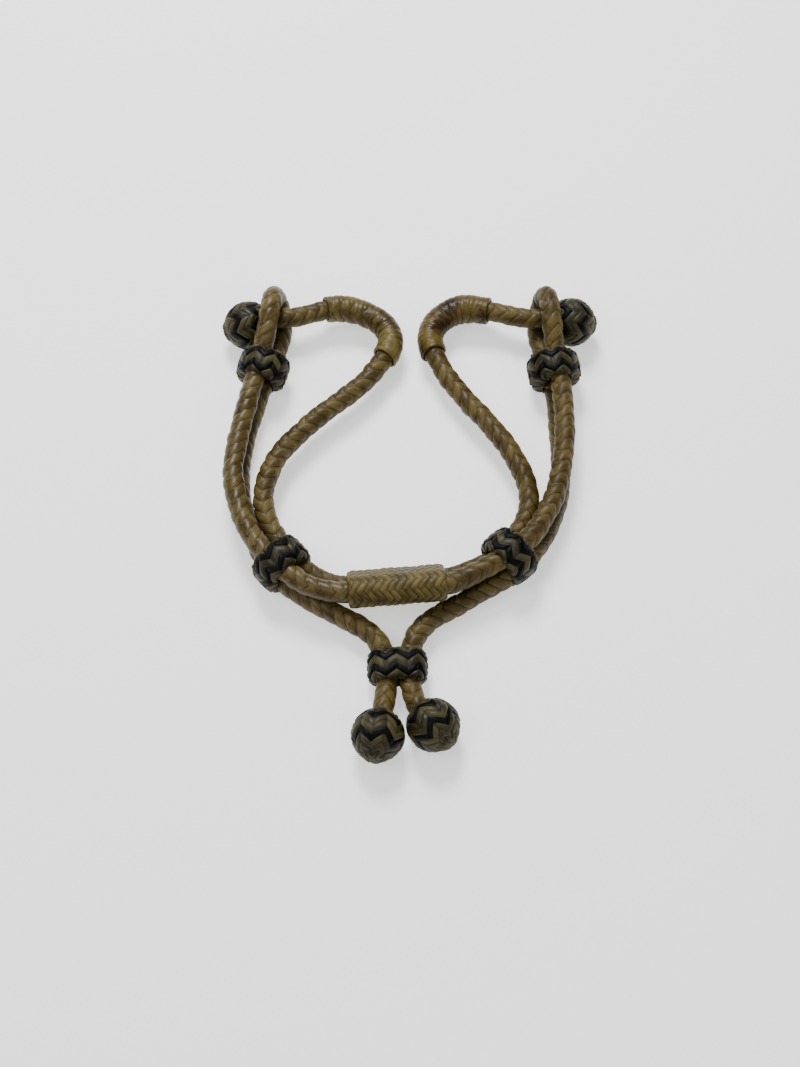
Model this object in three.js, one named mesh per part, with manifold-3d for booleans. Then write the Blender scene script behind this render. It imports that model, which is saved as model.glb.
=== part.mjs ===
// Horse hobbles braided from rawhide, laid flat: two leg loops on one short centre link.
// Two ropes make them. The leg rope runs from knob to knob round the inner side of both loops.
// The bight rope runs from one tail knob up and back round the outer side of each loop, where its
// U-turn, the bight, buttons over the leg rope's knob, and so on to the other tail knob.
// Units are millimetres, +Z is up and +Y runs from the tails to the bights. The origin is on the
// resting surface, under the middle of the whole.
import * as THREE from "three";
import { mergeVertices } from "three/addons/utils/BufferGeometryUtils.js";
import Module from "manifold-3d";

// ---- Driving dimensions ----
const ROPE_R = 5; // braided jacket, outside
const CORE_R = 2.8; // twisted core inside the jacket
const GAP = 0.3; // between neighbouring pieces
const JACKET_SIDES = 8;
const CORE_SIDES = 5;
const STEP = 8; // length of one straight piece of a strand
const TIGHT_STEP = 6; // the same, on a strand with a U-turn
const CURVE_SAMPLES = 3000;
const SWEEP_SAMPLES = 1000;

const RING_SIDES = 20;
const RING_LENGTH = 14; // along the strands
const RING_EDGE = 1.2; // how far a ring's ends round in
const SIDE_RING = { outer: 13.4, shell: 12.4, base: 12.1, hole: 11.65 };
const LEFT_KEEPER = { outer: 12.7, shell: 11.8, base: 11.5 };
const RIGHT_KEEPER = { outer: 13.1, shell: 11.8, base: 11.5 };
const KEEPER_SLOT = { half: 5.3, r: 5.95 }; // its two strands' half spacing, and the end radius
const TAIL_RING = { half: 5.6, outer: 8.4, shell: 7.3, base: 7, hole: 6.05 };
const COVER = { half: 5.15, outer: 7.6, shell: 6.4, binding: 6.1, hole: 5.3, length: 46 };

const KNOB_R = 12;
const KNOB_WALL = 2;
const KNOB_SIDES = 14;
const KNOB_MOUTH_R = 5.5;
const KNOB_TIP = 1.4; // how far the closing end stands out past the ball
const KNOB_SOCKET = 4; // from the knob's middle to the end of the rope in it
const SLEEVE_R = { left: 6.7, right: 7.1 };
const SLEEVE_SIDES = 10;

const HINGE_CLEAR = 0.5; // from a strand's end to the plane where a loop twists on the link
const TWIST_REACH = 25; // how far along a strand its crossing of that plane is looked for
const TAIL_BALL_R = 4.9;
const TAIL_START = 5.3; // from the tail hinge's axis to the start of the tail strands

// ---- Routes of the strands' middles ----
const LEFT_LEG = [
  [-81.5, 106.5, 12.3], [-74.5, 108, 14], [-67.5, 108.7, 15.5], [-58.5, 109.2, 15.5],
  [-50.5, 111.8, 14.8], [-41, 115.5, 13.3], [-35, 116.5, 12.5], [-28, 116, 11.5],
  [-21, 113.3, 11], [-14.5, 108.8, 11], [-10.7, 103.2, 11], [-9.5, 97.5, 11.2],
  [-11.2, 90.5, 11.6], [-14.8, 84.4, 12], [-22.4, 73.7, 12], [-34, 62.9, 12],
  [-44.8, 53.7, 12], [-54, 44.2, 12], [-61, 36.2, 12], [-65, 30, 12],
  [-67.8, 23.2, 12.2], [-70, 15.2, 12.5], [-70.6, 8.3, 12.5], [-69.6, 1.2, 12.5],
  [-67.4, -5.5, 12.5], [-64.3, -11.3, 12.7], [-60.7, -17.4, 12.7], [-56.9, -22.9, 12.6],
  [-50.6, -28.8, 12], [-44.5, -33, 10.9], [-38, -35.8, 10.5], [-28.8, -37.6, 10.5],
];
const RIGHT_LEG = [
  [81.8, 108.5, 12.3], [74, 108.7, 14], [68.3, 108.6, 15.5], [59, 108.8, 15.5],
  [52, 110.3, 15], [45, 113, 14], [38, 115, 13], [33.8, 116, 12.5],
  [28.8, 116.6, 12], [23.8, 115.9, 11.5], [18.8, 113.5, 11], [14, 109.2, 11],
  [11.2, 104, 11], [10.3, 98.6, 11], [11.8, 91.3, 11.5], [14.8, 84.4, 12],
  [18.3, 76.9, 12], [24.8, 67.5, 12], [30.2, 59.9, 12], [36, 53.1, 12],
  [41.2, 45.9, 12], [46.8, 38.1, 12], [50.7, 30.5, 12], [53.9, 23.6, 12],
  [56, 17.4, 12], [57.1, 11.2, 12], [57.1, 4.8, 11.7], [55.6, -1.5, 11.3],
  [52.6, -7.5, 10.8], [48.6, -13.4, 10.4], [43.8, -19.5, 10.1], [37, -24.6, 9.8],
  [30, -28.2, 9.8], [23.5, -31, 10.1], [16, -33.6, 10.4],
];
const LEFT_BIGHT = [
  [-28.8, -44.2, 18.5], [-40, -43, 18.5], [-50, -39.2, 18.7], [-56.5, -34.4, 18.9],
  [-62.8, -29.1, 18.9], [-69.6, -22, 18.8], [-74.7, -15, 18.3], [-78.8, -6.4, 17.5],
  [-81.5, 0.9, 16.8], [-84, 10.5, 16.3], [-85.4, 22, 16.2], [-84.5, 33, 16.2],
  [-82, 48, 16.5], [-80.2, 56.5, 17.2], [-78.2, 65.5, 17.7], [-76.4, 73.3, 18],
  [-74.7, 81, 18.3], [-73.2, 88, 19.2], [-72, 93.5, 21.8], [-70.9, 99, 24.4],
  [-70.1, 104.5, 26], [-69.4, 110, 26.3], [-68.6, 117, 23], [-67.3, 120, 15.7],
  [-65.8, 117, 8.3], [-64.8, 109.5, 5.3], [-65.3, 102.5, 5.6], [-67.6, 93, 7.1],
  [-71, 82.3, 8.2], [-74, 71, 7.9], [-76.6, 62.2, 7.2], [-78.9, 53.5, 6.4],
  [-81.3, 43, 5.9], [-82.7, 33, 5.7], [-83, 23, 5.7], [-82.2, 12.5, 5.9],
  [-80.3, 3.5, 6.3], [-77, -6, 7], [-72.8, -15, 7.8], [-68.5, -23.5, 8.5],
  [-63.8, -30.2, 8.7], [-57, -36.4, 8.5], [-50, -41.5, 8.1], [-43.6, -45.6, 8],
  [-37, -49.1, 8], [-30.4, -52.8, 8], [-23.5, -56.8, 8], [-18, -61, 8],
  [-14.2, -66.2, 8.2], [-11.9, -73, 8.4], [-11.2, -80, 8.4], [-11.1, -86.5, 8.5],
  [-11.8, -93.5, 9.5], [-13, -100.5, 11], [-14.8, -111.4, 12.2],
];
const RIGHT_BIGHT = [
  [16, -40.3, 18.5], [26.5, -36.2, 18.6], [36, -30.9, 18.8], [41.6, -27.4, 19.2],
  [47.1, -23.3, 19.3], [53.6, -18.5, 19.3], [58.4, -13.2, 18.6], [62.6, -6, 17.9],
  [66.6, 1.6, 17.2], [69.3, 8.2, 16.7], [71.6, 16.5, 16.3], [73.7, 27, 16.1],
  [75, 35.5, 16.1], [75.5, 43.2, 16.3], [75.6, 53.2, 16.7], [75.3, 60.8, 17.2],
  [74.9, 67.3, 17.6], [74.3, 74, 18], [73.4, 81.5, 18.4], [72.4, 88.8, 19.5],
  [71.6, 94, 22], [71, 99.2, 24.5], [70.5, 104.8, 26], [69.9, 110.2, 26.3],
  [69, 117.2, 23], [67.7, 120.2, 15.7], [66.2, 117.2, 8.3], [65.1, 109.6, 5.3],
  [65.3, 102.5, 5.6], [67.3, 93.5, 7.1], [69.5, 84.5, 8.1], [71.4, 75.5, 7.9],
  [72.6, 68, 7.4], [73.2, 60, 6.8], [73.6, 48.5, 6.1], [74, 36.5, 5.7],
  [73.9, 26.8, 5.6], [73.1, 19, 5.6], [71.7, 11, 5.8], [69.4, 2.8, 6.3],
  [66.1, -5.8, 7.2], [62, -13.5, 8.3], [57, -20.9, 9.5], [50.6, -27.5, 10.4],
  [43.8, -33.2, 9.6], [38.5, -36.2, 8.8], [32, -39.8, 8.2], [25.5, -44, 8],
  [19, -47.8, 8], [12.6, -51.5, 8], [7.6, -55.2, 8], [3.6, -60, 8],
  [1, -65.8, 8.2], [-0.3, -73, 8.4], [-0.5, -80, 8.4], [0.2, -86.5, 8.5],
  [1.8, -93.3, 9.5], [4.3, -99.2, 11], [10.2, -106.7, 12.2],
];
const LEG_MIDDLE = [[-14, -36.3, 10.5], [1, -35, 10.5]];
const BIGHT_MIDDLE = [[-14, -42.9, 18.5], [1, -41.6, 18.5]];

const vector = ([x, y, z]) => new THREE.Vector3(x, y, z);

function ropeCurve(points) {
  const curve = new THREE.CatmullRomCurve3(points.map(vector), false, "centripetal");
  curve.arcLengthDivisions = CURVE_SAMPLES;
  return curve;
}
const LEG_ROPE = ropeCurve([...LEFT_LEG, ...LEG_MIDDLE, ...[...RIGHT_LEG].reverse()]);
const BIGHT_ROPE = ropeCurve([...[...LEFT_BIGHT].reverse(), ...BIGHT_MIDDLE, ...RIGHT_BIGHT]);

// A part of a rope, from one fraction of its length to another.
class Stretch extends THREE.Curve {
  constructor(rope, from, to) {
    super();
    this.rope = rope;
    this.from = from;
    this.to = to;
    this.arcLengthDivisions = SWEEP_SAMPLES;
  }
  getPoint(t, target = new THREE.Vector3()) {
    return this.rope.getPointAt(this.from + (this.to - this.from) * t, target);
  }
}

// The fraction of a rope's length where it passes nearest to a point.
function fractionNear(rope, point) {
  let best = 0;
  let least = Infinity;
  for (let i = 0; i <= CURVE_SAMPLES; i++) {
    const distance = rope.getPointAt(i / CURVE_SAMPLES).distanceTo(point);
    if (distance < least) {
      least = distance;
      best = i / CURVE_SAMPLES;
    }
  }
  return best;
}

// ---- Places where rings sit and joints turn ----
// A ring's frame: its middle, the strands' direction through it, and the way its slot's long side lies.
const LEFT_SIDE = { at: [-60.8, -27, 13.4], along: [0.661, -0.75, 0], across: [0, 0, 1] };
const RIGHT_SIDE = { at: [46.9, -23.1, 13.4], along: [-0.741, -0.672, 0], across: [0.05, 0, 1] };
const LEFT_KEEP = { at: [-73.1, 80.3, 13.2], along: [-0.23, -0.969, -0.07], across: [-0.3, 0, 1] };
const RIGHT_KEEP = { at: [71.8, 79.6, 13.4], along: [0.13, -0.99, -0.05], across: [0.26, 0, 1] };
const TAIL_PLACE = { at: [-6, -77.2, 8.4], along: [0.029, -1, 0], across: [1, 0.029, 0] };
const COVER_PLACE = { at: [-6.4, -39, 14.5], along: [0.996, 0.088, 0], across: [0.056, -0.636, 0.77] };
const TWIST_OFFSET = 8.4; // from a side ring's middle to the plane where its loop twists
const TAIL_HINGE_Y = -63.5;

// The three strands of a side bundle each cross its plane next to these points of the routes.
const SIDES = {
  left: {
    place: LEFT_SIDE,
    leg: [-52, -27.6, 12.1],
    upper: [-57.5, -33.6, 18.9],
    lower: [-58.5, -35.2, 8.6],
  },
  right: {
    place: RIGHT_SIDE,
    leg: [38.5, -23.5, 9.9],
    upper: [40.5, -28.1, 19.1],
    lower: [44.5, -32.7, 9.8],
  },
};

// The fraction of a rope, near a given one, where it crosses the twist plane moved by an offset.
function planeFraction(rope, place, near, offset) {
  const along = vector(place.along).normalize();
  const origin = vector(place.at).addScaledVector(along, TWIST_OFFSET + offset);
  const reach = TWIST_REACH / rope.getLength();
  let best = near;
  let least = Infinity;
  for (let i = -CURVE_SAMPLES; i <= CURVE_SAMPLES; i++) {
    const fraction = near + (reach * i) / CURVE_SAMPLES;
    const height = Math.abs(rope.getPointAt(fraction).sub(origin).dot(along));
    if (height < least) {
      least = height;
      best = fraction;
    }
  }
  return best;
}

// Where a strand ends on one side of the twist plane, so that its slanting end face stays clear of it.
function crossing(rope, place, point, side) {
  const near = fractionNear(rope, vector(point));
  const middle = planeFraction(rope, place, near, 0);
  const slope = rope.getTangentAt(middle).dot(vector(place.along).normalize());
  const lean = Math.sqrt(Math.max(0, 1 - slope * slope));
  return planeFraction(rope, place, middle, side * (HINGE_CLEAR + ROPE_R * lean));
}

// ---- Solids ----
const wasm = await Module();
wasm.setup();

function toSolid(geometry) {
  const bare = new THREE.BufferGeometry().setAttribute("position", geometry.getAttribute("position"));
  if (geometry.index) bare.setIndex(geometry.index);
  const merged = mergeVertices(bare, 1e-4);
  const mesh = new wasm.Mesh({
    numProp: 3,
    vertProperties: merged.attributes.position.array,
    triVerts: new Uint32Array(merged.index.array),
  });
  return new wasm.Manifold(mesh);
}

function toGeometry(solid) {
  const mesh = solid.getMesh();
  const geometry = new THREE.BufferGeometry();
  geometry.setAttribute("position", new THREE.BufferAttribute(mesh.vertProperties, 3));
  geometry.setIndex(new THREE.BufferAttribute(mesh.triVerts, 1));
  return geometry;
}

function polygon(Kind, radius, sides) {
  const outline = new Kind();
  for (let i = 0; i < sides; i++) {
    const angle = (2 * Math.PI * (i + 0.5)) / sides;
    const move = i ? "lineTo" : "moveTo";
    outline[move](radius * Math.cos(angle), radius * Math.sin(angle));
  }
  outline.closePath();
  return outline;
}

const stepsOf = (path, step) => Math.max(2, Math.round(path.getLength() / step));

function sweep(outline, path, steps) {
  return new THREE.ExtrudeGeometry(outline, { steps, extrudePath: path, bevelEnabled: false });
}

function jacketGeometry(path, steps) {
  const outline = polygon(THREE.Shape, ROPE_R, JACKET_SIDES);
  outline.holes.push(polygon(THREE.Path, CORE_R + GAP, CORE_SIDES));
  return sweep(outline, path, steps);
}

// A flat oval: two half circles of a radius, their middles half apart on each side of the origin.
function oval(Kind, half, radius, turns) {
  const outline = new Kind();
  for (let i = 0; i < turns; i++) {
    const angle = (2 * Math.PI * (i + 0.5)) / turns;
    const x = radius * Math.cos(angle) + half * Math.sign(Math.cos(angle));
    outline[i ? "lineTo" : "moveTo"](x, radius * Math.sin(angle));
  }
  outline.closePath();
  return outline;
}

// A flat oval collar with square ends, lying along Z about the origin.
function collar(half, radius, hole, length) {
  const outline = oval(THREE.Shape, half, radius / Math.cos(Math.PI / RING_SIDES), RING_SIDES);
  outline.holes.push(oval(THREE.Path, hole.half, hole.r, RING_SIDES));
  const geometry = new THREE.ExtrudeGeometry(outline, { depth: length, bevelEnabled: false });
  return geometry.translate(0, 0, -length / 2);
}

// A collar with rounded ends, turned about Z, whose two halves are moved apart to make an oval.
function barrel(half, outer, inner, length) {
  const end = length / 2;
  const flats = Math.cos(Math.PI / RING_SIDES);
  const profile = [
    [inner, -end],
    [outer - RING_EDGE, -end],
    [outer, -end * 0.5],
    [outer, end * 0.5],
    [outer - RING_EDGE, end],
    [inner, end],
    [inner, -end],
  ].map(([radius, height]) => new THREE.Vector2(radius / flats, height));
  const turned = new THREE.LatheGeometry(profile, RING_SIDES, Math.PI / RING_SIDES);
  turned.rotateX(Math.PI / 2);
  const position = turned.getAttribute("position");
  for (let i = 0; i < position.count; i++) {
    position.setX(i, position.getX(i) + half * Math.sign(position.getX(i)));
  }
  return toGeometry(toSolid(turned));
}

// A woven knob's shell: its mouth faces -Z, and it closes in a blunt tip at +Z.
function knobShell() {
  const inner = KNOB_R - KNOB_WALL;
  const profile = [new THREE.Vector2(0, inner)];
  const rings = 5;
  const mouthIn = Math.acos(KNOB_MOUTH_R / inner);
  const mouthOut = Math.acos(KNOB_MOUTH_R / KNOB_R);
  for (let i = 1; i <= rings; i++) {
    const angle = Math.PI / 2 - ((Math.PI / 2 + mouthIn) * i) / rings;
    profile.push(new THREE.Vector2(inner * Math.cos(angle), inner * Math.sin(angle)));
  }
  for (let i = 0; i < rings + 1; i++) {
    const angle = -mouthOut + ((Math.PI / 2 + mouthOut) * i) / (rings + 1);
    profile.push(new THREE.Vector2(KNOB_R * Math.cos(angle), KNOB_R * Math.sin(angle)));
  }
  profile.push(new THREE.Vector2(0, KNOB_R + KNOB_TIP));
  return new THREE.LatheGeometry(profile, KNOB_SIDES).rotateX(Math.PI / 2);
}

// The ball under the shell, with a socket that the rope's end sits in.
function knobBall() {
  const radius = KNOB_R - KNOB_WALL - 2 * GAP;
  const socket = ROPE_R + GAP;
  const rim = Math.acos(socket / radius);
  const rings = 5;
  const profile = [
    new THREE.Vector2(0, -KNOB_SOCKET + GAP),
    new THREE.Vector2(socket, -KNOB_SOCKET + GAP),
  ];
  for (let i = 0; i < rings; i++) {
    const angle = -rim + ((Math.PI / 2 + rim) * i) / rings;
    profile.push(new THREE.Vector2(radius * Math.cos(angle), radius * Math.sin(angle)));
  }
  profile.push(new THREE.Vector2(0, radius));
  return new THREE.LatheGeometry(profile, KNOB_SIDES).rotateX(Math.PI / 2);
}

// ---- Nodes ----
const COLOURS = {
  rope: 0x8a7548,
  core: 0xb39a6b,
  knot: 0x4c4a3c,
  base: 0x8f7f5a,
  rawhide: 0x9a8440,
  cover: 0x857651,
};
const hobbles = new THREE.Group();

function addNode(name, geometry, colour, place = null) {
  const material = new THREE.MeshStandardMaterial({ color: colour, roughness: 0.5, metalness: 0 });
  const mesh = new THREE.Mesh(geometry, material);
  mesh.name = name;
  if (place) {
    const along = vector(place.along).normalize();
    const across = vector(place.across);
    across.addScaledVector(along, -across.dot(along)).normalize();
    const third = along.clone().cross(across);
    mesh.quaternion.setFromRotationMatrix(new THREE.Matrix4().makeBasis(across, third, along));
    mesh.position.copy(vector(place.at));
  }
  hobbles.add(mesh);
}

function addStrand(name, path, step = STEP) {
  const steps = stepsOf(path, step);
  addNode(name + "_strand", jacketGeometry(path, steps), COLOURS.rope);
  addNode(name + "_core", sweep(polygon(THREE.Shape, CORE_R, CORE_SIDES), path, steps), COLOURS.core);
}

// A knob on a rope's end: its middle is the end of the route.
function addKnob(name, rope, atEnd) {
  const at = rope.getPointAt(atEnd ? 1 : 0);
  const along = rope.getTangentAt(atEnd ? 1 : 0).multiplyScalar(atEnd ? 1 : -1);
  const place = { at: at.toArray(), along: along.toArray(), across: [0, 0.1, 1] };
  addNode(name, knobShell(), COLOURS.knot, place);
  addNode(name + "_core", knobBall(), COLOURS.base, place);
}

function addKeeper(side, size, place) {
  addNode(side + "_keeper_ring", barrel(0, size.outer, size.shell, RING_LENGTH), COLOURS.knot, place);
  const base = collar(0, size.base, KEEPER_SLOT, RING_LENGTH - RING_EDGE);
  addNode(side + "_keeper_base", base, COLOURS.base, place);
}

function addSideRing(side, place) {
  const ring = barrel(0, SIDE_RING.outer, SIDE_RING.shell, RING_LENGTH);
  addNode(side + "_side_ring", ring, COLOURS.knot, place);
  const hole = { half: 0, r: SIDE_RING.hole };
  const base = collar(0, SIDE_RING.base, hole, RING_LENGTH - RING_EDGE);
  addNode(side + "_side_ring_base", base, COLOURS.base, place);
}

// The shrunk rawhide sleeve round a leg strand's bend, hollowed to clear the strand.
function addSleeve(side, legPath, from, to, radius) {
  const outside = new Stretch(LEG_ROPE, from, to);
  const wall = polygon(THREE.Shape, radius, SLEEVE_SIDES);
  const hollow = polygon(THREE.Shape, ROPE_R + GAP, JACKET_SIDES);
  const tube = toSolid(sweep(wall, outside, stepsOf(outside, TIGHT_STEP)));
  const bore = toSolid(sweep(hollow, legPath, stepsOf(legPath, TIGHT_STEP)));
  addNode(side + "_bend_sleeve", toGeometry(tube.subtract(bore)), COLOURS.rawhide);
}

const legEnd = KNOB_SOCKET / LEG_ROPE.getLength();
const bightEnd = KNOB_SOCKET / BIGHT_ROPE.getLength();
const cuts = {};
for (const [side, bundle] of Object.entries(SIDES)) {
  cuts[side] = {};
  for (const [strand, rope] of [["leg", LEG_ROPE], ["upper", BIGHT_ROPE], ["lower", BIGHT_ROPE]]) {
    cuts[side][strand] = {
      loop: crossing(rope, bundle.place, bundle[strand], -1),
      link: crossing(rope, bundle.place, bundle[strand], 1),
    };
  }
}

// The leg rope: each loop's strand with its bend sleeve, and the middle.
const leftLegPath = new Stretch(LEG_ROPE, legEnd, cuts.left.leg.loop);
const rightLegPath = new Stretch(LEG_ROPE, cuts.right.leg.loop, 1 - legEnd);
addStrand("left_leg", leftLegPath, TIGHT_STEP);
addStrand("right_leg", rightLegPath, TIGHT_STEP);
addStrand("centre_leg", new Stretch(LEG_ROPE, cuts.left.leg.link, cuts.right.leg.link));
const onLegRope = (point) => fractionNear(LEG_ROPE, vector(point));
const leftSleeve = [[-42.5, 115, 13.5], [-13, 87.6, 11.8]].map(onLegRope);
const rightSleeve = [[12.2, 90, 11.5], [40.5, 114.4, 13.3]].map(onLegRope);
addSleeve("left", leftLegPath, ...leftSleeve, SLEEVE_R.left);
addSleeve("right", rightLegPath, ...rightSleeve, SLEEVE_R.right);

// The bight rope: each loop's bight, the middle over the leg rope, and the lower strands.
const leftBight = new Stretch(BIGHT_ROPE, cuts.left.lower.loop, cuts.left.upper.loop);
const rightBight = new Stretch(BIGHT_ROPE, cuts.right.upper.loop, cuts.right.lower.loop);
addStrand("left_bight", leftBight, TIGHT_STEP);
addStrand("right_bight", rightBight, TIGHT_STEP);
addStrand("centre_bight", new Stretch(BIGHT_ROPE, cuts.left.upper.link, cuts.right.upper.link));

// Lower strands end in a ball on the tails' hinge axis, and the tail strands start just clear of it.
const hinges = {
  left: fractionNear(BIGHT_ROPE, new THREE.Vector3(-16.1, TAIL_HINGE_Y, 8.1)),
  right: fractionNear(BIGHT_ROPE, new THREE.Vector3(1.9, TAIL_HINGE_Y, 8.1)),
};
const tailShift = TAIL_START / BIGHT_ROPE.getLength();

function ballAt(centre, radius) {
  return toSolid(new THREE.SphereGeometry(radius, 12, 8).translate(centre.x, centre.y, centre.z));
}

function addLowerStrand(side, from, to) {
  const path = new Stretch(BIGHT_ROPE, from, to);
  const steps = stepsOf(path, STEP);
  const centre = BIGHT_ROPE.getPointAt(hinges[side]);
  const jacket = toSolid(jacketGeometry(path, steps)).add(ballAt(centre, TAIL_BALL_R));
  const rod = toSolid(sweep(polygon(THREE.Shape, CORE_R, CORE_SIDES), path, steps));
  addNode(side + "_lower_strand", toGeometry(jacket), COLOURS.rope);
  addNode(side + "_lower_core", toGeometry(rod.subtract(ballAt(centre, TAIL_BALL_R + GAP))), COLOURS.core);
}
addLowerStrand("left", hinges.left, cuts.left.lower.link);
addLowerStrand("right", cuts.right.lower.link, hinges.right);
addStrand("left_tail", new Stretch(BIGHT_ROPE, bightEnd, hinges.left - tailShift));
addStrand("right_tail", new Stretch(BIGHT_ROPE, hinges.right + tailShift, 1 - bightEnd));

// Knobs on the four rope ends.
addKnob("left_knob", LEG_ROPE, false);
addKnob("right_knob", LEG_ROPE, true);
addKnob("left_tail_knob", BIGHT_ROPE, false);
addKnob("right_tail_knob", BIGHT_ROPE, true);

// Ring knots round the strands, and the braided cover round the middle.
addSideRing("left", LEFT_SIDE);
addSideRing("right", RIGHT_SIDE);
addKeeper("left", LEFT_KEEPER, LEFT_KEEP);
addKeeper("right", RIGHT_KEEPER, RIGHT_KEEP);
const tailRing = barrel(TAIL_RING.half, TAIL_RING.outer, TAIL_RING.shell, RING_LENGTH);
addNode("tail_ring", tailRing, COLOURS.knot, TAIL_PLACE);
const tailSlot = { half: TAIL_RING.half, r: TAIL_RING.hole };
const tailBase = collar(TAIL_RING.half, TAIL_RING.base, tailSlot, RING_LENGTH - RING_EDGE);
addNode("tail_ring_base", tailBase, COLOURS.base, TAIL_PLACE);
const cover = barrel(COVER.half, COVER.outer, COVER.shell, COVER.length);
addNode("centre_cover", cover, COLOURS.cover, COVER_PLACE);
const coverSlot = { half: COVER.half, r: COVER.hole };
const binding = collar(COVER.half, COVER.binding, coverSlot, COVER.length - 2 * RING_EDGE);
addNode("centre_binding", binding, COLOURS.base, COVER_PLACE);

export default hobbles;
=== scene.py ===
"""Horse hobbles braided from rawhide, laid flat: two leg loops on one short centre link.

A leg rope and a bight rope make both loops. Ring knots hold the strands together, a woven knob
ends each rope, shrunk rawhide sleeves stiffen the bends and a fine braid covers the middle.
All sizes are in metres.
"""

import logging
import math
from dataclasses import dataclass
from enum import Enum

import bpy
import numpy as np
from mathutils import Matrix, Vector


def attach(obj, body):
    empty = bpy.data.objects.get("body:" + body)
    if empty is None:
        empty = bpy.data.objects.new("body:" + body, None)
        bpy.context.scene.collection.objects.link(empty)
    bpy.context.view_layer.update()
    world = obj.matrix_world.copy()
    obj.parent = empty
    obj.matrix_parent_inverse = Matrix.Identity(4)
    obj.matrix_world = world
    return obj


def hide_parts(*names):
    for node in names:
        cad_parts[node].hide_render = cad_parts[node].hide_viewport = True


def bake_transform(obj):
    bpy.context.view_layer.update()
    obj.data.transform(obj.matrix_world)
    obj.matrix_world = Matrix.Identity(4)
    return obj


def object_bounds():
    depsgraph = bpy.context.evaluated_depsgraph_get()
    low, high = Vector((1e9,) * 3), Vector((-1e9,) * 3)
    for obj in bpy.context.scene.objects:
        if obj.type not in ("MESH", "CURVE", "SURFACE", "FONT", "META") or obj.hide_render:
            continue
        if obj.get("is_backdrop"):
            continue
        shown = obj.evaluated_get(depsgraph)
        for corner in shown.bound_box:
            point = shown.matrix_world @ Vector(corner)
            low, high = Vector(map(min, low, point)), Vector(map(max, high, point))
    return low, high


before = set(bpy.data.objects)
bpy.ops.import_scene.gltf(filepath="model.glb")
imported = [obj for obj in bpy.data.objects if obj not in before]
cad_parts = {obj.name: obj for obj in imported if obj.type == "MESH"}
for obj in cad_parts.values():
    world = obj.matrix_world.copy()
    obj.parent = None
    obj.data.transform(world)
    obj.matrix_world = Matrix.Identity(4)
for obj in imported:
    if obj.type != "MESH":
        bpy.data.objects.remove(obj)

log = logging.getLogger("hobbles")

WEAVE_SEED = 7

# Ropes: each swell's height, pitch and phase, and how far an end rounds in.
SWELLS = ((0.00009, 310.0, 1.3), (0.00007, 733.0, 0.0))
ROUND_IN = 0.0019
BRAID_CROWN_POWER = 3.2
BRAID_DIVE = 0.42
BRAID_DIVE_POWER = 0.45

# Knots: how their laces rise and dive, and how their ends close round the strands.
MOUTH_MARGIN = 0.0053
MOUTH_POWER = 1.4
SWING_POWER = 0.55
TIP_SWING_POWER = 0.9
SLOPE_REACH = 0.0004
LACE_CROWN_POWER = 3.5
LACE_DIVE = 0.12
LACE_DIVE_LENGTH = 0.32
TIP_FLAT = 0.3
TIP_STANDS_OUT = 0.0002
LINING_ROWS = (0.2, 0.5, 0.8)

LEFT_LEG = [
    (-0.0815, 0.1065, 0.0123), (-0.0745, 0.108, 0.014), (-0.0675, 0.1087, 0.0155),
    (-0.0585, 0.1092, 0.0155), (-0.0505, 0.1118, 0.0148), (-0.041, 0.1155, 0.0133),
    (-0.035, 0.1165, 0.0125), (-0.028, 0.116, 0.0115), (-0.021, 0.1133, 0.011),
    (-0.0145, 0.1088, 0.011), (-0.0107, 0.1032, 0.011), (-0.0095, 0.0975, 0.0112),
    (-0.0112, 0.0905, 0.0116), (-0.0148, 0.0844, 0.012), (-0.0224, 0.0737, 0.012),
    (-0.034, 0.0629, 0.012), (-0.0448, 0.0537, 0.012), (-0.054, 0.0442, 0.012),
    (-0.061, 0.0362, 0.012), (-0.065, 0.03, 0.012), (-0.0678, 0.0232, 0.0122),
    (-0.07, 0.0152, 0.0125), (-0.0706, 0.0083, 0.0125), (-0.0696, 0.0012, 0.0125),
    (-0.0674, -0.0055, 0.0125), (-0.0643, -0.0113, 0.0127), (-0.0607, -0.0174, 0.0127),
    (-0.0569, -0.0229, 0.0126), (-0.0506, -0.0288, 0.012), (-0.0445, -0.033, 0.0109),
    (-0.038, -0.0358, 0.0105), (-0.0288, -0.0376, 0.0105),
]
RIGHT_LEG = [
    (0.0818, 0.1085, 0.0123), (0.074, 0.1087, 0.014), (0.0683, 0.1086, 0.0155),
    (0.059, 0.1088, 0.0155), (0.052, 0.1103, 0.015), (0.045, 0.113, 0.014),
    (0.038, 0.115, 0.013), (0.0338, 0.116, 0.0125), (0.0288, 0.1166, 0.012),
    (0.0238, 0.1159, 0.0115), (0.0188, 0.1135, 0.011), (0.014, 0.1092, 0.011),
    (0.0112, 0.104, 0.011), (0.0103, 0.0986, 0.011), (0.0118, 0.0913, 0.0115),
    (0.0148, 0.0844, 0.012), (0.0183, 0.0769, 0.012), (0.0248, 0.0675, 0.012),
    (0.0302, 0.0599, 0.012), (0.036, 0.0531, 0.012), (0.0412, 0.0459, 0.012),
    (0.0468, 0.0381, 0.012), (0.0507, 0.0305, 0.012), (0.0539, 0.0236, 0.012),
    (0.056, 0.0174, 0.012), (0.0571, 0.0112, 0.012), (0.0571, 0.0048, 0.0117),
    (0.0556, -0.0015, 0.0113), (0.0526, -0.0075, 0.0108), (0.0486, -0.0134, 0.0104),
    (0.0438, -0.0195, 0.0101), (0.037, -0.0246, 0.0098), (0.03, -0.0282, 0.0098),
    (0.0235, -0.031, 0.0101), (0.016, -0.0336, 0.0104),
]
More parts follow.
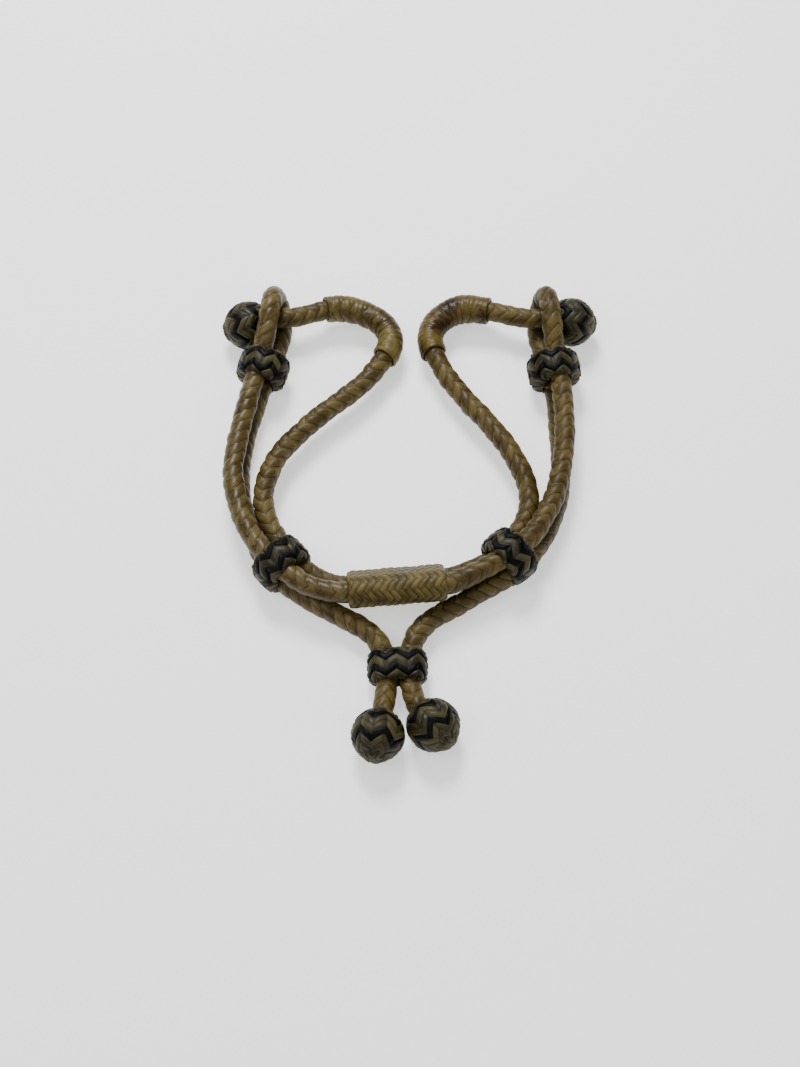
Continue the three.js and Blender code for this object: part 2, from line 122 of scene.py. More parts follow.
LEFT_BIGHT = [
    (-0.0288, -0.0442, 0.0185), (-0.04, -0.043, 0.0185), (-0.05, -0.0392, 0.0187),
    (-0.0565, -0.0344, 0.0189), (-0.0628, -0.0291, 0.0189), (-0.0696, -0.022, 0.0188),
    (-0.0747, -0.015, 0.0183), (-0.0788, -0.0064, 0.0175), (-0.0815, 0.0009, 0.0168),
    (-0.084, 0.0105, 0.0163), (-0.0854, 0.022, 0.0162), (-0.0845, 0.033, 0.0162),
    (-0.082, 0.048, 0.0165), (-0.0802, 0.0565, 0.0172), (-0.0782, 0.0655, 0.0177),
    (-0.0764, 0.0733, 0.018), (-0.0747, 0.081, 0.0183), (-0.0732, 0.088, 0.0192),
    (-0.072, 0.0935, 0.0218), (-0.0709, 0.099, 0.0244), (-0.0701, 0.1045, 0.026),
    (-0.0694, 0.11, 0.0263), (-0.0686, 0.117, 0.023), (-0.0673, 0.12, 0.0157),
    (-0.0658, 0.117, 0.0083), (-0.0648, 0.1095, 0.0053), (-0.0653, 0.1025, 0.0056),
    (-0.0676, 0.093, 0.0071), (-0.071, 0.0823, 0.0082), (-0.074, 0.071, 0.0079),
    (-0.0766, 0.0622, 0.0072), (-0.0789, 0.0535, 0.0064), (-0.0813, 0.043, 0.0059),
    (-0.0827, 0.033, 0.0057), (-0.083, 0.023, 0.0057), (-0.0822, 0.0125, 0.0059),
    (-0.0803, 0.0035, 0.0063), (-0.077, -0.006, 0.007), (-0.0728, -0.015, 0.0078),
    (-0.0685, -0.0235, 0.0085), (-0.0638, -0.0302, 0.0087), (-0.057, -0.0364, 0.0085),
    (-0.05, -0.0415, 0.0081), (-0.0436, -0.0456, 0.008), (-0.037, -0.0491, 0.008),
    (-0.0304, -0.0528, 0.008), (-0.0235, -0.0568, 0.008), (-0.018, -0.061, 0.008),
    (-0.0142, -0.0662, 0.0082), (-0.0119, -0.073, 0.0084), (-0.0112, -0.08, 0.0084),
    (-0.0111, -0.0865, 0.0085), (-0.0118, -0.0935, 0.0095), (-0.013, -0.1005, 0.011),
    (-0.0148, -0.1114, 0.0122),
]
RIGHT_BIGHT = [
    (0.016, -0.0403, 0.0185), (0.0265, -0.0362, 0.0186), (0.036, -0.0309, 0.0188),
    (0.0416, -0.0274, 0.0192), (0.0471, -0.0233, 0.0193), (0.0536, -0.0185, 0.0193),
    (0.0584, -0.0132, 0.0186), (0.0626, -0.006, 0.0179), (0.0666, 0.0016, 0.0172),
    (0.0693, 0.0082, 0.0167), (0.0716, 0.0165, 0.0163), (0.0737, 0.027, 0.0161),
    (0.075, 0.0355, 0.0161), (0.0755, 0.0432, 0.0163), (0.0756, 0.0532, 0.0167),
    (0.0753, 0.0608, 0.0172), (0.0749, 0.0673, 0.0176), (0.0743, 0.074, 0.018),
    (0.0734, 0.0815, 0.0184), (0.0724, 0.0888, 0.0195), (0.0716, 0.094, 0.022),
    (0.071, 0.0992, 0.0245), (0.0705, 0.1048, 0.026), (0.0699, 0.1102, 0.0263),
    (0.069, 0.1172, 0.023), (0.0677, 0.1202, 0.0157), (0.0662, 0.1172, 0.0083),
    (0.0651, 0.1096, 0.0053), (0.0653, 0.1025, 0.0056), (0.0673, 0.0935, 0.0071),
    (0.0695, 0.0845, 0.0081), (0.0714, 0.0755, 0.0079), (0.0726, 0.068, 0.0074),
    (0.0732, 0.06, 0.0068), (0.0736, 0.0485, 0.0061), (0.074, 0.0365, 0.0057),
    (0.0739, 0.0268, 0.0056), (0.0731, 0.019, 0.0056), (0.0717, 0.011, 0.0058),
    (0.0694, 0.0028, 0.0063), (0.0661, -0.0058, 0.0072), (0.062, -0.0135, 0.0083),
    (0.057, -0.0209, 0.0095), (0.0506, -0.0275, 0.0104), (0.0438, -0.0332, 0.0096),
    (0.0385, -0.0362, 0.0088), (0.032, -0.0398, 0.0082), (0.0255, -0.044, 0.008),
    (0.019, -0.0478, 0.008), (0.0126, -0.0515, 0.008), (0.0076, -0.0552, 0.008),
    (0.0036, -0.06, 0.008), (0.001, -0.0658, 0.0082), (-0.0003, -0.073, 0.0084),
    (-0.0005, -0.08, 0.0084), (0.0002, -0.0865, 0.0085), (0.0018, -0.0933, 0.0095),
    (0.0043, -0.0992, 0.011), (0.0102, -0.1067, 0.0122),
]
LEG_MIDDLE = [
    (-0.014, -0.0363, 0.0105), (0.001, -0.035, 0.0105),
]
BIGHT_MIDDLE = [
    (-0.014, -0.0429, 0.0185), (0.001, -0.0416, 0.0185),
]


def smooth(x: np.ndarray) -> np.ndarray:
    """Eases a value from 0 to 1.

    Args:
        x: Values, clipped to 0..1 first.

    Returns:
        The eased values.
    """
    t = np.clip(x, 0.0, 1.0)
    return t * t * (3.0 - 2.0 * t)


def quarter_round(x: np.ndarray) -> np.ndarray:
    """Rises from 0 to 1 along a quarter of a circle.

    Args:
        x: Values, clipped to 0..1 first.

    Returns:
        The heights on the circle.
    """
    return np.sqrt(np.clip(1.0 - (1.0 - np.clip(x, 0, 1)) ** 2, 0, 1))


def scatter(*keys: np.ndarray) -> np.ndarray:
    """A repeatable pseudo-random number for each set of whole-number keys.

    Args:
        keys: Arrays of whole numbers, all of one shape.

    Returns:
        Numbers from 0 to 1.
    """
    total = np.full(np.shape(keys[0]), float(WEAVE_SEED))
    for index, key in enumerate(keys):
        total = total + key * (12.9898 + 65.233 * index)
    return np.mod(np.sin(total) * 43758.5453, 1.0)


class Route:
    """A rope's middle line through given points, with a frame that doesn't twist."""

    SAMPLES = 40

    def __init__(self, points: list[tuple[float, float, float]]) -> None:
        """Makes the line.

        Args:
            points: The points that the line passes through, in order.
        """
        self.line = self._spline(np.array(points, float))
        gaps = np.linalg.norm(np.diff(self.line, axis=0), axis=1)
        self.distance = np.concatenate([[0.0], np.cumsum(gaps)])
        self.length = float(self.distance[-1])
        tangents = np.gradient(self.line, self.distance, axis=0)
        self.tangents = tangents / np.linalg.norm(tangents, axis=1, keepdims=True)
        self.normals = self._carry_normals()

    def _spline(self, points: np.ndarray) -> np.ndarray:
        """Joins the points by a centripetal Catmull-Rom spline.

        Args:
            points: The route's points.

        Returns:
            Many points along the spline.
        """
        first = 2 * points[0] - points[1]
        last = 2 * points[-1] - points[-2]
        whole = np.vstack([first, points, last])
        pieces = []
        for p0, p1, p2, p3 in zip(whole, whole[1:], whole[2:], whole[3:]):
            d0, d1, d2 = (
                math.sqrt(float(np.linalg.norm(b - a)))
                for a, b in ((p0, p1), (p1, p2), (p2, p3))
            )
            t1 = d1 * ((p1 - p0) / d0 - (p2 - p0) / (d0 + d1) + (p2 - p1) / d1)
            t2 = d1 * ((p2 - p1) / d1 - (p3 - p1) / (d1 + d2) + (p3 - p2) / d2)
            t = np.arange(self.SAMPLES)[:, None] / self.SAMPLES
            bend = (-3 * p1 + 3 * p2 - 2 * t1 - t2) * t**2
            pieces.append(p1 + t1 * t + bend + (2 * p1 - 2 * p2 + t1 + t2) * t**3)
        pieces.append(points[-1:])
        return np.vstack(pieces)

    def _carry_normals(self) -> np.ndarray:
        """Carries one normal along the line without twisting it.

        Returns:
            A unit normal at each point of the line.
        """
        up = np.array([0.0, 0.0, 1.0])
        normal = up - self.tangents[0] * float(up @ self.tangents[0])
        normals = [normal / np.linalg.norm(normal)]
        for tangent in self.tangents[1:]:
            normal = normals[-1] - tangent * float(normals[-1] @ tangent)
            normals.append(normal / np.linalg.norm(normal))
        return np.array(normals)

    def at(self, distance: np.ndarray) -> tuple[np.ndarray, np.ndarray, np.ndarray, np.ndarray]:
        """The line's place and frame at distances along it.

        Args:
            distance: Distances from the line's start.

        Returns:
            Places, tangents, normals and binormals, one row for each distance.
        """
        rows = [
            np.stack([np.interp(distance, self.distance, data[:, i]) for i in range(3)], axis=1)
            for data in (self.line, self.tangents, self.normals)
        ]
        place, tangent, normal = rows
        tangent = tangent / np.linalg.norm(tangent, axis=1, keepdims=True)
        normal = normal - tangent * (normal * tangent).sum(1, keepdims=True)
        normal = normal / np.linalg.norm(normal, axis=1, keepdims=True)
        return place, tangent, normal, np.cross(tangent, normal)

    def nearest(self, point: tuple[float, float, float]) -> float:
        """How far along the line its nearest place to a point is.

        Args:
            point: A point in the frame.

        Returns:
            The distance from the line's start.
        """
        far = np.linalg.norm(self.line - np.array(point), axis=1)
        return float(self.distance[int(far.argmin())])


class SurfaceGrid:
    """A closed mesh made of rows of points, with values that its finish reads."""

    def __init__(self, name: str) -> None:
        """Starts an empty mesh.

        Args:
            name: The piece's name.
        """
        self.name = name
        self.points: list[np.ndarray] = []
        self.values: dict[str, list[np.ndarray]] = {"lace": [], "relief": []}
        self.faces: list[tuple[int, ...]] = []
        self.slots: list[int] = []
        self.flat: list[bool] = []
        self.count = 0

    def add_points(self, points: np.ndarray, lace: np.ndarray, relief: np.ndarray) -> int:
        """Adds points with their values.

        Args:
            points: The points, n by 3.
            lace: Along, across and random value of the lace at each point, n by 3.
            relief: How high each point stands, from 0 in a groove to 1 on a crown.

        Returns:
            The index of the first point added.
        """
        first = self.count
        self.points.append(points)
        self.values["lace"].append(lace)
        self.values["relief"].append(relief)
        self.count += len(points)
        return first

    def add_faces(
        self, faces: np.ndarray, slots: np.ndarray | None = None, flat: bool = False
    ) -> None:
        """Adds faces.

        Args:
            faces: Point indices, one row for each face.
            slots: Each face's material slot, 0 where not given.
            flat: Whether the faces are shaded flat.
        """
        self.faces.extend(map(tuple, faces.tolist()))
        self.slots.extend([0] * len(faces) if slots is None else slots.tolist())
        self.flat.extend([flat] * len(faces))

    def add_cap(self, ring: np.ndarray, centre: np.ndarray, outward: bool) -> None:
        """Closes a ring of points by a flat fan.

        Args:
            ring: Indices of the ring's points, in order.
            centre: The point in the fan's middle.
            outward: False turns the fan round.
        """
        middle = self.add_points(centre[None, :], np.zeros((1, 3)), np.zeros(1))
        after = np.roll(ring, -1)
        pair = (ring, after) if outward else (after, ring)
        self.add_faces(np.stack([*pair, np.full(len(ring), middle)], axis=1), flat=True)

    def build(self, *finishes: bpy.types.Material) -> bpy.types.Object:
        """Makes the Blender object.

        Args:
            finishes: Its materials, in the order of the faces' slots.

        Returns:
            The new object, linked to the scene.
        """
        mesh = bpy.data.meshes.new(self.name)
        mesh.from_pydata(np.vstack(self.points).tolist(), [], self.faces)
        mesh.polygons.foreach_set("use_smooth", [not f for f in self.flat])
        mesh.polygons.foreach_set("material_index", self.slots)
        lace = mesh.attributes.new("lace", "FLOAT_VECTOR", "POINT")
        lace.data.foreach_set("vector", np.vstack(self.values["lace"]).astype(np.float32).ravel())
        relief = mesh.attributes.new("relief", "FLOAT", "POINT")
        relief.data.foreach_set("value", np.concatenate(self.values["relief"]).astype(np.float32))
        for finish in finishes:
            mesh.materials.append(finish)
        mesh.update()
        piece = bpy.data.objects.new(self.name, mesh)
        bpy.context.scene.collection.objects.link(piece)
        return piece


@dataclass(frozen=True)
class Braid:
    """Sizes of an over-two, under-two braid on a round or oval section.

    Args:
        crown: Radius at the top of a lace.
        groove: Radius in the groove between laces.
        half: Half the distance between the section's two round ends, 0 for a round one.
        laces: How many laces run each way.
        lead: Length in which a lace goes once round.
        cell: Grid steps across one lace.
        unevenness: How much one lace stands higher than the next.
    """

    crown: float = 0.0051
    groove: float = 0.0045
    half: float = 0.0
    laces: int = 4
    lead: float = 0.025
    cell: int = 8
    unevenness: float = 0.00022

    @property
    def step(self) -> float:
        """Distance along the braid between two rows of points."""
        return self.lead / (2 * self.cell * self.laces)

    def relief(self, row: np.ndarray, column: np.ndarray) -> tuple[np.ndarray, np.ndarray]:
        """The height of the braid at points of its diamond grid.

        Args:
            row: Row numbers along the braid.
            column: Column numbers round it, as odd or even as the rows.

        Returns:
            Each point's relief from 0 to 1, and along, across and random value of its lace.
        """
        first = (column - row) // 2
        second = (column + row) // 2
        i, in_first = np.divmod(first, self.cell)
        j, in_second = np.divmod(second, self.cell)
        phase = np.mod(i + j, 4)
        over = phase < 2
        along = np.where(over, phase + in_second / self.cell, phase - 2 + in_first / self.cell)
        across = np.where(over, in_first, in_second) / self.cell
        lace = np.where(over, np.mod(i, self.laces), np.mod(j, self.laces))
        stretch = np.where(over, j - i - phase, i - j - (phase - 2))
        chance = scatter(over.astype(float), lace, stretch)
        crown = 1.0 - np.abs(2.0 * across - 1.0) ** BRAID_CROWN_POWER
        hump = np.sin(np.pi * np.clip(along / 2.0, 0.0, 1.0)) ** BRAID_DIVE_POWER
        rise = BRAID_DIVE + (1.0 - BRAID_DIVE) * hump
        # The finish darkens low relief towards its groove colour, a painted shade along the lace edges.
        return crown * rise, np.stack([along / 2.0, across, chance], axis=-1)


def section(turn: np.ndarray, half: float, radius: float) -> tuple[np.ndarray, np.ndarray]:
    """Goes round an oval of two half circles.

    Args:
        turn: How far round, from 0 to 1.
        half: Half the distance between the half circles' middles.
        radius: Their radius.

    Returns:
        The x of the nearer middle, and the direction's angle, at each turn.
    """
    bend = np.pi * radius
    side = 2.0 * half
    way = np.mod(turn, 1.0) * 2.0 * (bend + side)
    lap = way >= bend + side
    way = np.where(lap, way - bend - side, way)
    on_bend = way < bend
    angle = np.where(on_bend, way / radius - np.pi / 2.0, np.pi / 2.0)
    x = np.where(on_bend, half, half - (way - bend))
    sign = np.where(lap, -1.0, 1.0)
    return x * sign, angle + np.where(lap, np.pi, 0.0)


def braided_tube(
    name: str,
    size: Braid,
    route: Route,
    start: float,
    end: float,
    finishes: list[bpy.types.Material],
    end_round: float = 0.0,
) -> bpy.types.Object:
    """Makes a braid of real laces along a route.

    Args:
        name: The piece's name.
        size: The braid.
        route: The line that it follows.
        start: Where on the line it starts.
        end: Where it ends.
        finishes: Its materials.
        end_round: Length at each end in which it rounds in to its own strands.

    Returns:
        The new object.
    """
    around = size.cell * size.laces
    rows = np.arange(math.floor(start / size.step), math.floor(end / size.step) + 2)
    row = np.repeat(rows, around)
    spot = np.tile(np.arange(around), len(rows))
    column = 2 * spot + np.mod(row, 2)
    relief, lace = size.relief(row, column)
    place, _, normal, binormal = route.at(row * size.step)
    swell = sum(rise * np.sin(row * size.step * pitch + phase) for rise, pitch, phase in SWELLS)
    radius = size.groove + (size.crown - size.groove) * relief + swell
    radius = radius + size.unevenness * (lace[:, 2] - 0.5) * relief
    if end_round > 0.0:
        inset = np.minimum(row * size.step - start, end - row * size.step) / end_round
        radius = radius - ROUND_IN * (1.0 - quarter_round(inset))
    x, angle = section(column / (2.0 * around), size.half, size.crown)
    side = (x + radius * np.cos(angle))[:, None]
    up = (radius * np.sin(angle))[:, None]
    grid = SurfaceGrid(name)
    grid.add_points(place + side * normal + up * binormal, lace, relief)
    index = np.arange(len(row)).reshape(len(rows), around)
    for n in range(len(rows) - 2):
        odd = int(rows[n] % 2)
        right = np.roll(index[n + 1], -odd)
        left = np.roll(right, 1)
        grid.add_faces(np.stack([index[n], right, index[n + 2], left], axis=1))
    for n, outward in ((0, False), (len(rows) - 2, True)):
        odd = int(rows[n] % 2)
        pairs = (index[n], index[n + 1]) if not odd else (index[n + 1], index[n])
        rim = np.stack(pairs, axis=1).ravel()
        grid.add_cap(rim, place[index[n]].mean(axis=0), outward)
    return grid.build(*finishes)


@dataclass(frozen=True)
class Place:
    """Where a knot sits: its middle, the strands' direction, and the way its long side lies."""

    at: tuple[float, float, float]
    along: tuple[float, float, float]
    across: tuple[float, float, float]

    def matrix(self) -> np.ndarray:
        """The place's three axes: across, square to both, and along.

        Returns:
            A 3 by 3 array with an axis in each row.
        """
        along = np.array(self.along) / np.linalg.norm(self.along)
        across = np.array(self.across) - along * float(np.dot(self.across, along))
        across = across / np.linalg.norm(across)
        return np.array([across, np.cross(along, across), along])

    def world(self, local: np.ndarray) -> np.ndarray:
        """Points given along the place's axes, in the frame.

        Args:
            local: The points, n by 3, or one point.

        Returns:
            The same points in the frame.
        """
        return local @ self.matrix() + np.array(self.at)

    def seat(self, piece: bpy.types.Object) -> None:
        """Moves a piece's mesh from the origin to this place.

        Args:
            piece: The piece.
        """
        turn = Matrix(self.matrix().T.tolist()).to_4x4()
        piece.data.transform(Matrix.Translation(Vector(self.at)) @ turn)


class LaceColour(Enum):
    """The two rawhides that the knots are woven from. The value is the material slot."""

    TAN = 0
    BLACK = 1


@dataclass(frozen=True)
class Lace:
    """One lace of a knot, which zigzags round it.

    Args:
        width: Its width along the knot's outline.
        colour: Which rawhide it is.
        lift: How far it stands up at its middle.
    """

    width: float
    colour: LaceColour
    lift: float = 0.00055


@dataclass(frozen=True)
class Knot:
    """Sizes of a woven knot whose laces zigzag round it.

    Args:
        outline: Radius and height points of its skin, from one end to the other.
        laces: Its laces, in that order.
        points: How many zigzag points go round it.
        swing: How far a zigzag goes to each side.
        half: Half the distance between its two round ends, 0 for a round knot.
        closed: Whether the outline ends on the axis.
        steps: Grid steps across a lace, and along half a zigzag.
        mouths: The strands' middles at its low end and at its high end, which its ends close round.
    """

    outline: np.ndarray
    laces: tuple[Lace, ...]
    points: int
    swing: float
    half: float = 0.0
    closed: bool = False
    steps: tuple[int, int] = (8, 12)
    mouths: tuple[np.ndarray, np.ndarray] | None = None


def reach_round(middles: np.ndarray, margin: float, angle: np.ndarray) -> np.ndarray:
    """How far out a tight band round some strands reaches in each direction from the origin.

    Args:
        middles: The strands' middles, n by 2.
        margin: The band's distance from them.
        angle: The directions.

    Returns:
        The distance from the origin to the band in each direction.
    """
    turn = np.linspace(0.0, 2.0 * np.pi, 721)
    facing = np.stack([np.cos(turn), np.sin(turn)], axis=1)
    band = middles[(facing @ middles.T).argmax(axis=1)] + margin * facing
    share = np.linspace(0.0, 1.0, 12, endpoint=False)[None, :, None]
    band = (band[:-1, None, :] * (1.0 - share) + band[1:, None, :] * share).reshape(-1, 2)
    around = np.mod(np.arctan2(band[:, 1], band[:, 0]), 2.0 * np.pi)
    order = np.argsort(around)
    far = np.hypot(band[:, 0], band[:, 1])[order]
    return np.interp(np.mod(angle, 2.0 * np.pi), around[order], far, period=2.0 * np.pi)


def close_in(
    knot: Knot, x: np.ndarray, angle: np.ndarray, radius: np.ndarray, height: np.ndarray
) -> np.ndarray:
    """Puts points of a knot's skin in place, drawn in to the strands at its mouths.

    Args:
        knot: The knot.
        x: The x of the round end's middle at each point.
        angle: The direction from there.
        radius: The distance from there.
        height: The place along the strands.

    Returns:
        The points, n by 3.
    """
    flat = np.stack([x + radius * np.cos(angle), radius * np.sin(angle)], axis=1)
    if knot.mouths is not None:
        direction = np.arctan2(flat[:, 1], flat[:, 0])
        far = np.hypot(flat[:, 0], flat[:, 1])
        low, high = (reach_round(middles, MOUTH_MARGIN, direction) for middles in knot.mouths)
        mouth = np.minimum(np.where(height > 0.0, high, low), far)
        widest = float(knot.outline[:, 0].max())
        narrowest = float(knot.outline[:, 0].min())
        share = np.clip((widest - radius) / (widest - narrowest), 0.0, 1.0) ** MOUTH_POWER
        new = far + (mouth - far) * share
        flat = flat * (new / np.maximum(far, 1e-9))[:, None]
    return np.column_stack([flat, height])


def woven_knot(
    name: str, knot: Knot, place: Place, finishes: list[bpy.types.Material]
) -> bpy.types.Object:
    """Makes a knot of zigzagging laces over its outline.

    Args:
        name: The piece's name.
        knot: Its sizes.
        place: Where it sits.
        finishes: The tan and the black material.

    Returns:
        The new object.
    """
    gaps = np.linalg.norm(np.diff(knot.outline, axis=0), axis=1)
    distance = np.concatenate([[0.0], np.cumsum(gaps)])
    across_steps, along_steps = knot.steps
    widths = np.array([lace.width for lace in knot.laces])
    widths = widths * distance[-1] / widths.sum()
    edges = np.concatenate([[0.0], np.cumsum(widths)])
    columns = knot.points * 2 * along_steps
    turn = np.arange(columns) / columns
    leg, in_leg = np.divmod(np.arange(columns), along_steps)
    share = in_leg / along_steps
    zigzag = np.where(leg % 2 == 0, 2.0 * share - 1.0, 1.0 - 2.0 * share)
    radius_of_turn = float(knot.outline[:, 0].max())
    x, angle = section(turn, knot.half, radius_of_turn)
    grid = SurfaceGrid(name)
    rows = []
    row_slots = []
    for number, lace in enumerate(knot.laces):
        last = number == len(knot.laces) - 1
        for step in range(across_steps + (1 if last else 0)):
            across = step / across_steps
            middle = edges[number] + widths[number] * across
            ends = np.sin(np.pi * middle / distance[-1])
            near_tip = knot.closed and middle > distance[-1] / 2.0
            power = TIP_SWING_POWER if near_tip else SWING_POWER
            swing = knot.swing * float(np.clip(ends, 0.0, 1.0)) ** power
            way = np.clip(middle + swing * zigzag, 0.0, distance[-1])
            radius, height = (np.interp(way, distance, edge) for edge in knot.outline.T)
            more = np.clip(way + SLOPE_REACH, 0.0, distance[-1])
            less = np.clip(way - SLOPE_REACH, 0.0, distance[-1])
            d_radius, d_height = (
                np.interp(more, distance, edge) - np.interp(less, distance, edge)
                for edge in knot.outline.T
            )
            size = np.hypot(d_radius, d_height) + 1e-12
            crown = 1.0 - abs(2.0 * across - 1.0) ** LACE_CROWN_POWER
            chance = scatter(np.full(columns, float(number)), leg.astype(float))
            ahead = np.where((leg + number) % 2 == 0, share, 1.0 - share)
            # The finish darkens low relief towards its groove colour, a painted shade at lace edges and
            # where a lace dives under.
            relief = crown * (LACE_DIVE + (1.0 - LACE_DIVE) * smooth(ahead / LACE_DIVE_LENGTH))
            rise = lace.lift * (relief * (0.8 + 0.4 * chance))
            if knot.closed:
                rise = rise * np.clip(radius / (TIP_FLAT * radius_of_turn), 0.0, 1.0)
            radius = radius + rise * d_height / size
            height = height - rise * d_radius / size
            local = close_in(knot, x, angle, radius, height)
            lace_values = np.stack([share, np.full(columns, across), chance], axis=1)
            rows.append(grid.add_points(place.world(local), lace_values, relief))
            row_slots.append(lace.colour.value)
    if not knot.closed:
        for back in LINING_ROWS:
            radius, height = (1 - back) * knot.outline[-1] + back * knot.outline[0]
            local = close_in(knot, x, angle, np.full(columns, radius), np.full(columns, height))
            # Relief 0 paints the lining with the finish's groove colour, a painted shade inside the
            # ring.
            rows.append(grid.add_points(place.world(local), np.zeros((columns, 3)), np.zeros(columns)))
            row_slots.append(LaceColour.TAN.value)
    ring = np.arange(columns)
    after = np.roll(ring, -1)
    pairs = list(zip(rows, rows[1:], row_slots))
    if not knot.closed:
        pairs.append((rows[-1], rows[0], row_slots[-1]))
    for low, high, slot in pairs:
        faces = np.stack([low + ring, low + after, high + after, high + ring], axis=1)
        grid.add_faces(faces, np.full(columns, slot))
    if knot.closed:
        tip = place.world(np.array([0.0, 0.0, knot.outline[-1, 1] + TIP_STANDS_OUT]))
        mouth = place.world(np.array([0.0, 0.0, knot.outline[0, 1]]))
        grid.add_cap(rows[-1] + ring, tip, True)
        grid.add_cap(rows[0] + ring, mouth, False)
    return grid.build(*finishes)


class Node:
    """Short ways to make and join a material's nodes."""

    def __init__(self, tree: bpy.types.NodeTree) -> None:
        """Keeps the tree.

        Args:
            tree: The node tree that the nodes go in.
        """
        self.tree = tree

    def make(self, kind: str, **values: object) -> bpy.types.Node:
        """Makes a node.

        Args:
            kind: The node's type, without ShaderNode.
            values: Its settings.

        Returns:
            The new node.
        """
        node = self.tree.nodes.new(f"ShaderNode{kind}")
        for key, value in values.items():
            setattr(node, key, value)
        return node

    def join(self, source: bpy.types.NodeSocket, target: bpy.types.NodeSocket) -> None:
        """Joins two sockets.

        Args:
            source: The output.
            target: The input.
        """
        self.tree.links.new(source, target)

    def maths(self, operation: str, first: object, second: object) -> bpy.types.NodeSocket:
        """Makes a Math node of two inputs.

        Args:
            operation: What it works out.
            first: A socket or a number.
            second: A socket or a number.

        Returns:
            Its output.
        """
        node = self.make("Math", operation=operation)
        for socket, value in zip(node.inputs, (first, second)):
            if isinstance(value, bpy.types.NodeSocket):
                self.join(value, socket)
            else:
                socket.default_value = value
        return node.outputs[0]

    def noise(self, vector: bpy.types.NodeSocket, scale: float, detail: float) -> bpy.types.NodeSocket:
        """Makes a Noise Texture.

        Args:
            vector: Where it is read.
            scale: Its scale.
            detail: Its detail.

        Returns:
            Its factor.
        """
        node = self.make("TexNoise")
        node.inputs["Scale"].default_value = scale
        node.inputs["Detail"].default_value = detail
        self.join(vector, node.inputs["Vector"])
        return node.outputs["Fac"]

    def ramp(
        self, value: bpy.types.NodeSocket, stops: list[tuple[float, tuple[float, ...]]]
    ) -> bpy.types.NodeSocket:
        """Makes a Color Ramp.

        Args:
            value: The value that it turns into a colour.
            stops: Places and colours.

        Returns:
            Its colour.
        """
        node = self.make("ValToRGB")
        elements = node.color_ramp.elements
        for number, (place, colour) in enumerate(stops):
            element = elements[number] if number < 2 else elements.new(place)
            element.position = place
            element.color = (*colour, 1.0)
        self.join(value, node.inputs["Fac"])
        return node.outputs["Color"]

    def blend(self, mode: str, share: object, first: object, second: object) -> bpy.types.NodeSocket:
        """Makes a Mix node for colours.

        Args:
            mode: How it mixes them.
            share: The factor, a socket or a number.
            first: The first colour, a socket or a colour.
            second: The second colour, a socket or a colour.

        Returns:
            The mixed colour.
        """
        node = self.make("Mix", data_type="RGBA", blend_type=mode)
        sockets = (node.inputs[0], node.inputs[6], node.inputs[7])
        for socket, value in zip(sockets, (share, first, second)):
            if isinstance(value, bpy.types.NodeSocket):
                self.join(value, socket)
            else:
                socket.default_value = value if isinstance(value, float) else (*value, 1.0)
        return node.outputs[2]


def hide_grain() -> bpy.types.NodeTree:
    """Makes the group that all the rawhide shares: its mottle, fibres, pits and surface height.

    Returns:
        The node group.
    """
    group = bpy.data.node_groups.new("hide_grain", "ShaderNodeTree")
    for name, kind in (("Place", "NodeSocketVector"), ("Lace", "NodeSocketVector")):
        group.interface.new_socket(name, in_out="INPUT", socket_type=kind)
    for name in ("Mottle", "Fibre", "Pits", "Height"):
        group.interface.new_socket(name, in_out="OUTPUT", socket_type="NodeSocketFloat")
    nodes = Node(group)
    source = group.nodes.new("NodeGroupInput")
    target = group.nodes.new("NodeGroupOutput")
    mottle = nodes.noise(source.outputs["Place"], 130.0, 4.0)
    stretch = nodes.make("VectorMath", operation="MULTIPLY")
    stretch.inputs[1].default_value = (1.6, 9.0, 11.0)
    nodes.join(source.outputs["Lace"], stretch.inputs[0])
    fibre = nodes.noise(stretch.outputs[0], 1.0, 5.0)
    pits = nodes.make("TexVoronoi", feature="F1")
    pits.inputs["Scale"].default_value = 620.0
    nodes.join(source.outputs["Place"], pits.inputs["Vector"])
    pit = nodes.maths("SUBTRACT", 1.0, nodes.maths("MULTIPLY", pits.outputs["Distance"], 3.0))
    fine = nodes.noise(source.outputs["Place"], 1500.0, 3.0)
    height = nodes.maths("ADD", nodes.maths("MULTIPLY", fibre, 0.7), nodes.maths("MULTIPLY", fine, 0.3))
    for name, socket in (("Mottle", mottle), ("Fibre", fibre), ("Pits", pit), ("Height", height)):
        nodes.join(socket, target.inputs[name])
    return group


